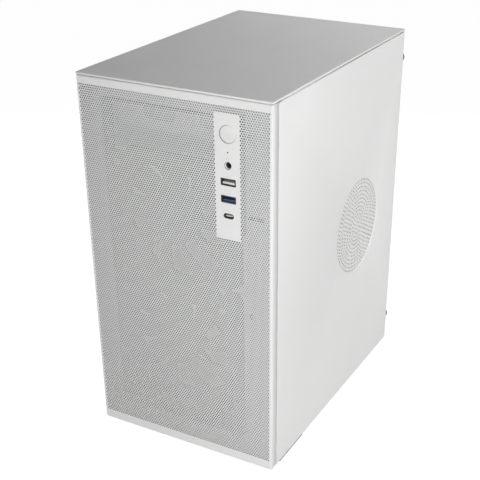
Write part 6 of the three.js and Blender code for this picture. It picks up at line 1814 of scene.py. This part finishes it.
class TOWER_OT_stage(bpy.types.Operator):
    """Pale floor, soft lamps and the camera"""

    bl_idname = "tower.stage"
    bl_label = "Stage"

    def execute(self, context):
        sizes = context.scene.tower_stage
        self.floor()
        self.world(sizes.sky)
        self.lamp("Right lamp", (0.72, 0.4, 0.11), (0, 0, 0.19), 0.5, sizes.right_light)
        self.lamp("Front lamp", (0.45, -0.85, 0.33), (0, 0, 0.19), 0.6, sizes.front_light)
        self.lamp("High lamp", (0.28, 0.15, 0.75), (0, 0, 0.3), 0.4, sizes.high_light)
        self.lamp("Rear lamp", (-0.4, 0.9, 0.18), (0, 0, 0.17), 0.34, sizes.back_light)
        self.lamp("Left lamp", (-0.95, 0.2, 0.18), (0, 0, 0.17), 0.34, sizes.back_light)
        self.camera(sizes.lens)
        context.scene.view_settings.view_transform = "Standard"
        return {"FINISHED"}

    def floor(self):
        """Wide pale floor that looks white where it is seen directly and still takes the case's shadow."""
        mesh = bmesh.new()
        bmesh.ops.create_grid(mesh, x_segments=1, y_segments=1, size=12)
        data = bpy.data.meshes.new("floor")
        mesh.to_mesh(data)
        mesh.free()
        floor = bpy.data.objects.new("floor", data)
        bpy.context.scene.collection.objects.link(floor)
        material = bpy.data.materials.new("Pale floor")
        material.use_nodes = True
        tree = material.node_tree
        shader = tree.nodes["Principled BSDF"]
        shader.inputs["Base Color"].default_value = (0.8, 0.8, 0.8, 1)
        shader.inputs["Roughness"].default_value = 0.9
        glow = tree.nodes.new("ShaderNodeEmission")
        glow.inputs["Strength"].default_value = FLOOR_GLOW
        mix = tree.nodes.new("ShaderNodeMixShader")
        share = calculate(tree, "MULTIPLY", seen_directly(tree), FLOOR_GLOW_SHARE)
        tree.links.new(share, mix.inputs["Fac"])
        tree.links.new(shader.outputs["BSDF"], mix.inputs[1])
        tree.links.new(glow.outputs["Emission"], mix.inputs[2])
        tree.links.new(mix.outputs["Shader"], tree.nodes["Material Output"].inputs["Surface"])
        data.materials.append(material)

    def world(self, strength):
        """Even white sky: full strength where it is seen directly, the given strength as a light."""
        world = bpy.data.worlds.new("Pale surroundings")
        bpy.context.scene.world = world
        world.use_nodes = True
        tree = world.node_tree
        sky = tree.nodes["Background"]
        sky.inputs["Color"].default_value = (1, 1, 1, 1)
        tree.links.new(remap(tree, seen_directly(tree), strength, 1.0), sky.inputs["Strength"])

    def lamp(self, name, place, target, size, power):
        """Square soft lamp aimed at a point."""
        light = bpy.data.lights.new(name, "AREA")
        light.energy = power
        light.size = size
        lamp = bpy.data.objects.new(name, light)
        lamp.location = place
        lamp.rotation_euler = (Vector(target) - Vector(place)).to_track_quat("-Z", "Y").to_euler()
        bpy.context.scene.collection.objects.link(lamp)

    def camera(self, lens):
        """Camera to the right of the front and above it."""
        azimuth, elevation, distance = math.radians(28.11), math.radians(28.11), 1.0191
        aim = Vector((0.0096, 0, 0.1063))
        towards = Vector((
            math.sin(azimuth) * math.cos(elevation),
            -math.cos(azimuth) * math.cos(elevation),
            math.sin(elevation),
        ))
        data = bpy.data.cameras.new("Camera")
        data.lens = lens
        data.sensor_width = 36
        data.shift_x = -0.0499
        data.shift_y = 0.1209
        camera = bpy.data.objects.new("Camera", data)
        camera.location = aim + towards * distance
        camera.rotation_euler = (-towards).to_track_quat("-Z", "Y").to_euler()
        bpy.context.scene.collection.objects.link(camera)
        bpy.context.scene.camera = camera


# ---------------------------------------------------------------- panel and registration
BUILD_STEPS = (
    TOWER_OT_finishes,
    TOWER_OT_front_cover,
    TOWER_OT_side_covers,
    TOWER_OT_top_cover,
    TOWER_OT_front_controls,
    TOWER_OT_fasteners,
    TOWER_OT_feet,
    TOWER_OT_fans,
    TOWER_OT_rear_sockets,
    TOWER_OT_power_supply,
    TOWER_OT_board_parts,
    TOWER_OT_memory,
    TOWER_OT_drive,
    TOWER_OT_leads,
    TOWER_OT_stage,
)


class VIEW3D_PT_tower(bpy.types.Panel):
    """Lists the tower's settings and building steps"""

    bl_label = "Computer Tower"
    bl_space_type = "VIEW_3D"
    bl_region_type = "UI"
    bl_category = "Tower"

    def draw(self, context):
        layout = self.layout
        layout.use_property_split = True
        for settings in ("tower_finish", "tower_front", "tower_sides", "tower_stage"):
            owner = getattr(context.scene, settings)
            column = layout.column(align=True)
            for label in owner.__annotations__:
                column.prop(owner, label)
        for step in BUILD_STEPS:
            layout.operator(step.bl_idname)


SETTINGS = {
    "tower_finish": TowerFinish,
    "tower_front": TowerFront,
    "tower_sides": TowerSides,
    "tower_stage": TowerStage,
}


def register():
    """Adds the settings, the operators and the panel."""
    for cls in (*SETTINGS.values(), *BUILD_STEPS, VIEW3D_PT_tower):
        bpy.utils.register_class(cls)
    for name, cls in SETTINGS.items():
        setattr(bpy.types.Scene, name, bpy.props.PointerProperty(type=cls))


def unregister():
    """Takes the settings, the operators and the panel away again."""
    for name in SETTINGS:
        delattr(bpy.types.Scene, name)
    for cls in reversed((*SETTINGS.values(), *BUILD_STEPS, VIEW3D_PT_tower)):
        bpy.utils.unregister_class(cls)


def main():
    """Registers the settings, operators and panel, then runs every building step in order."""
    register()
    for step in BUILD_STEPS:
        group_name, operator_name = step.bl_idname.split(".")
        getattr(getattr(bpy.ops, group_name), operator_name)()


if __name__ == "__main__":
    main()
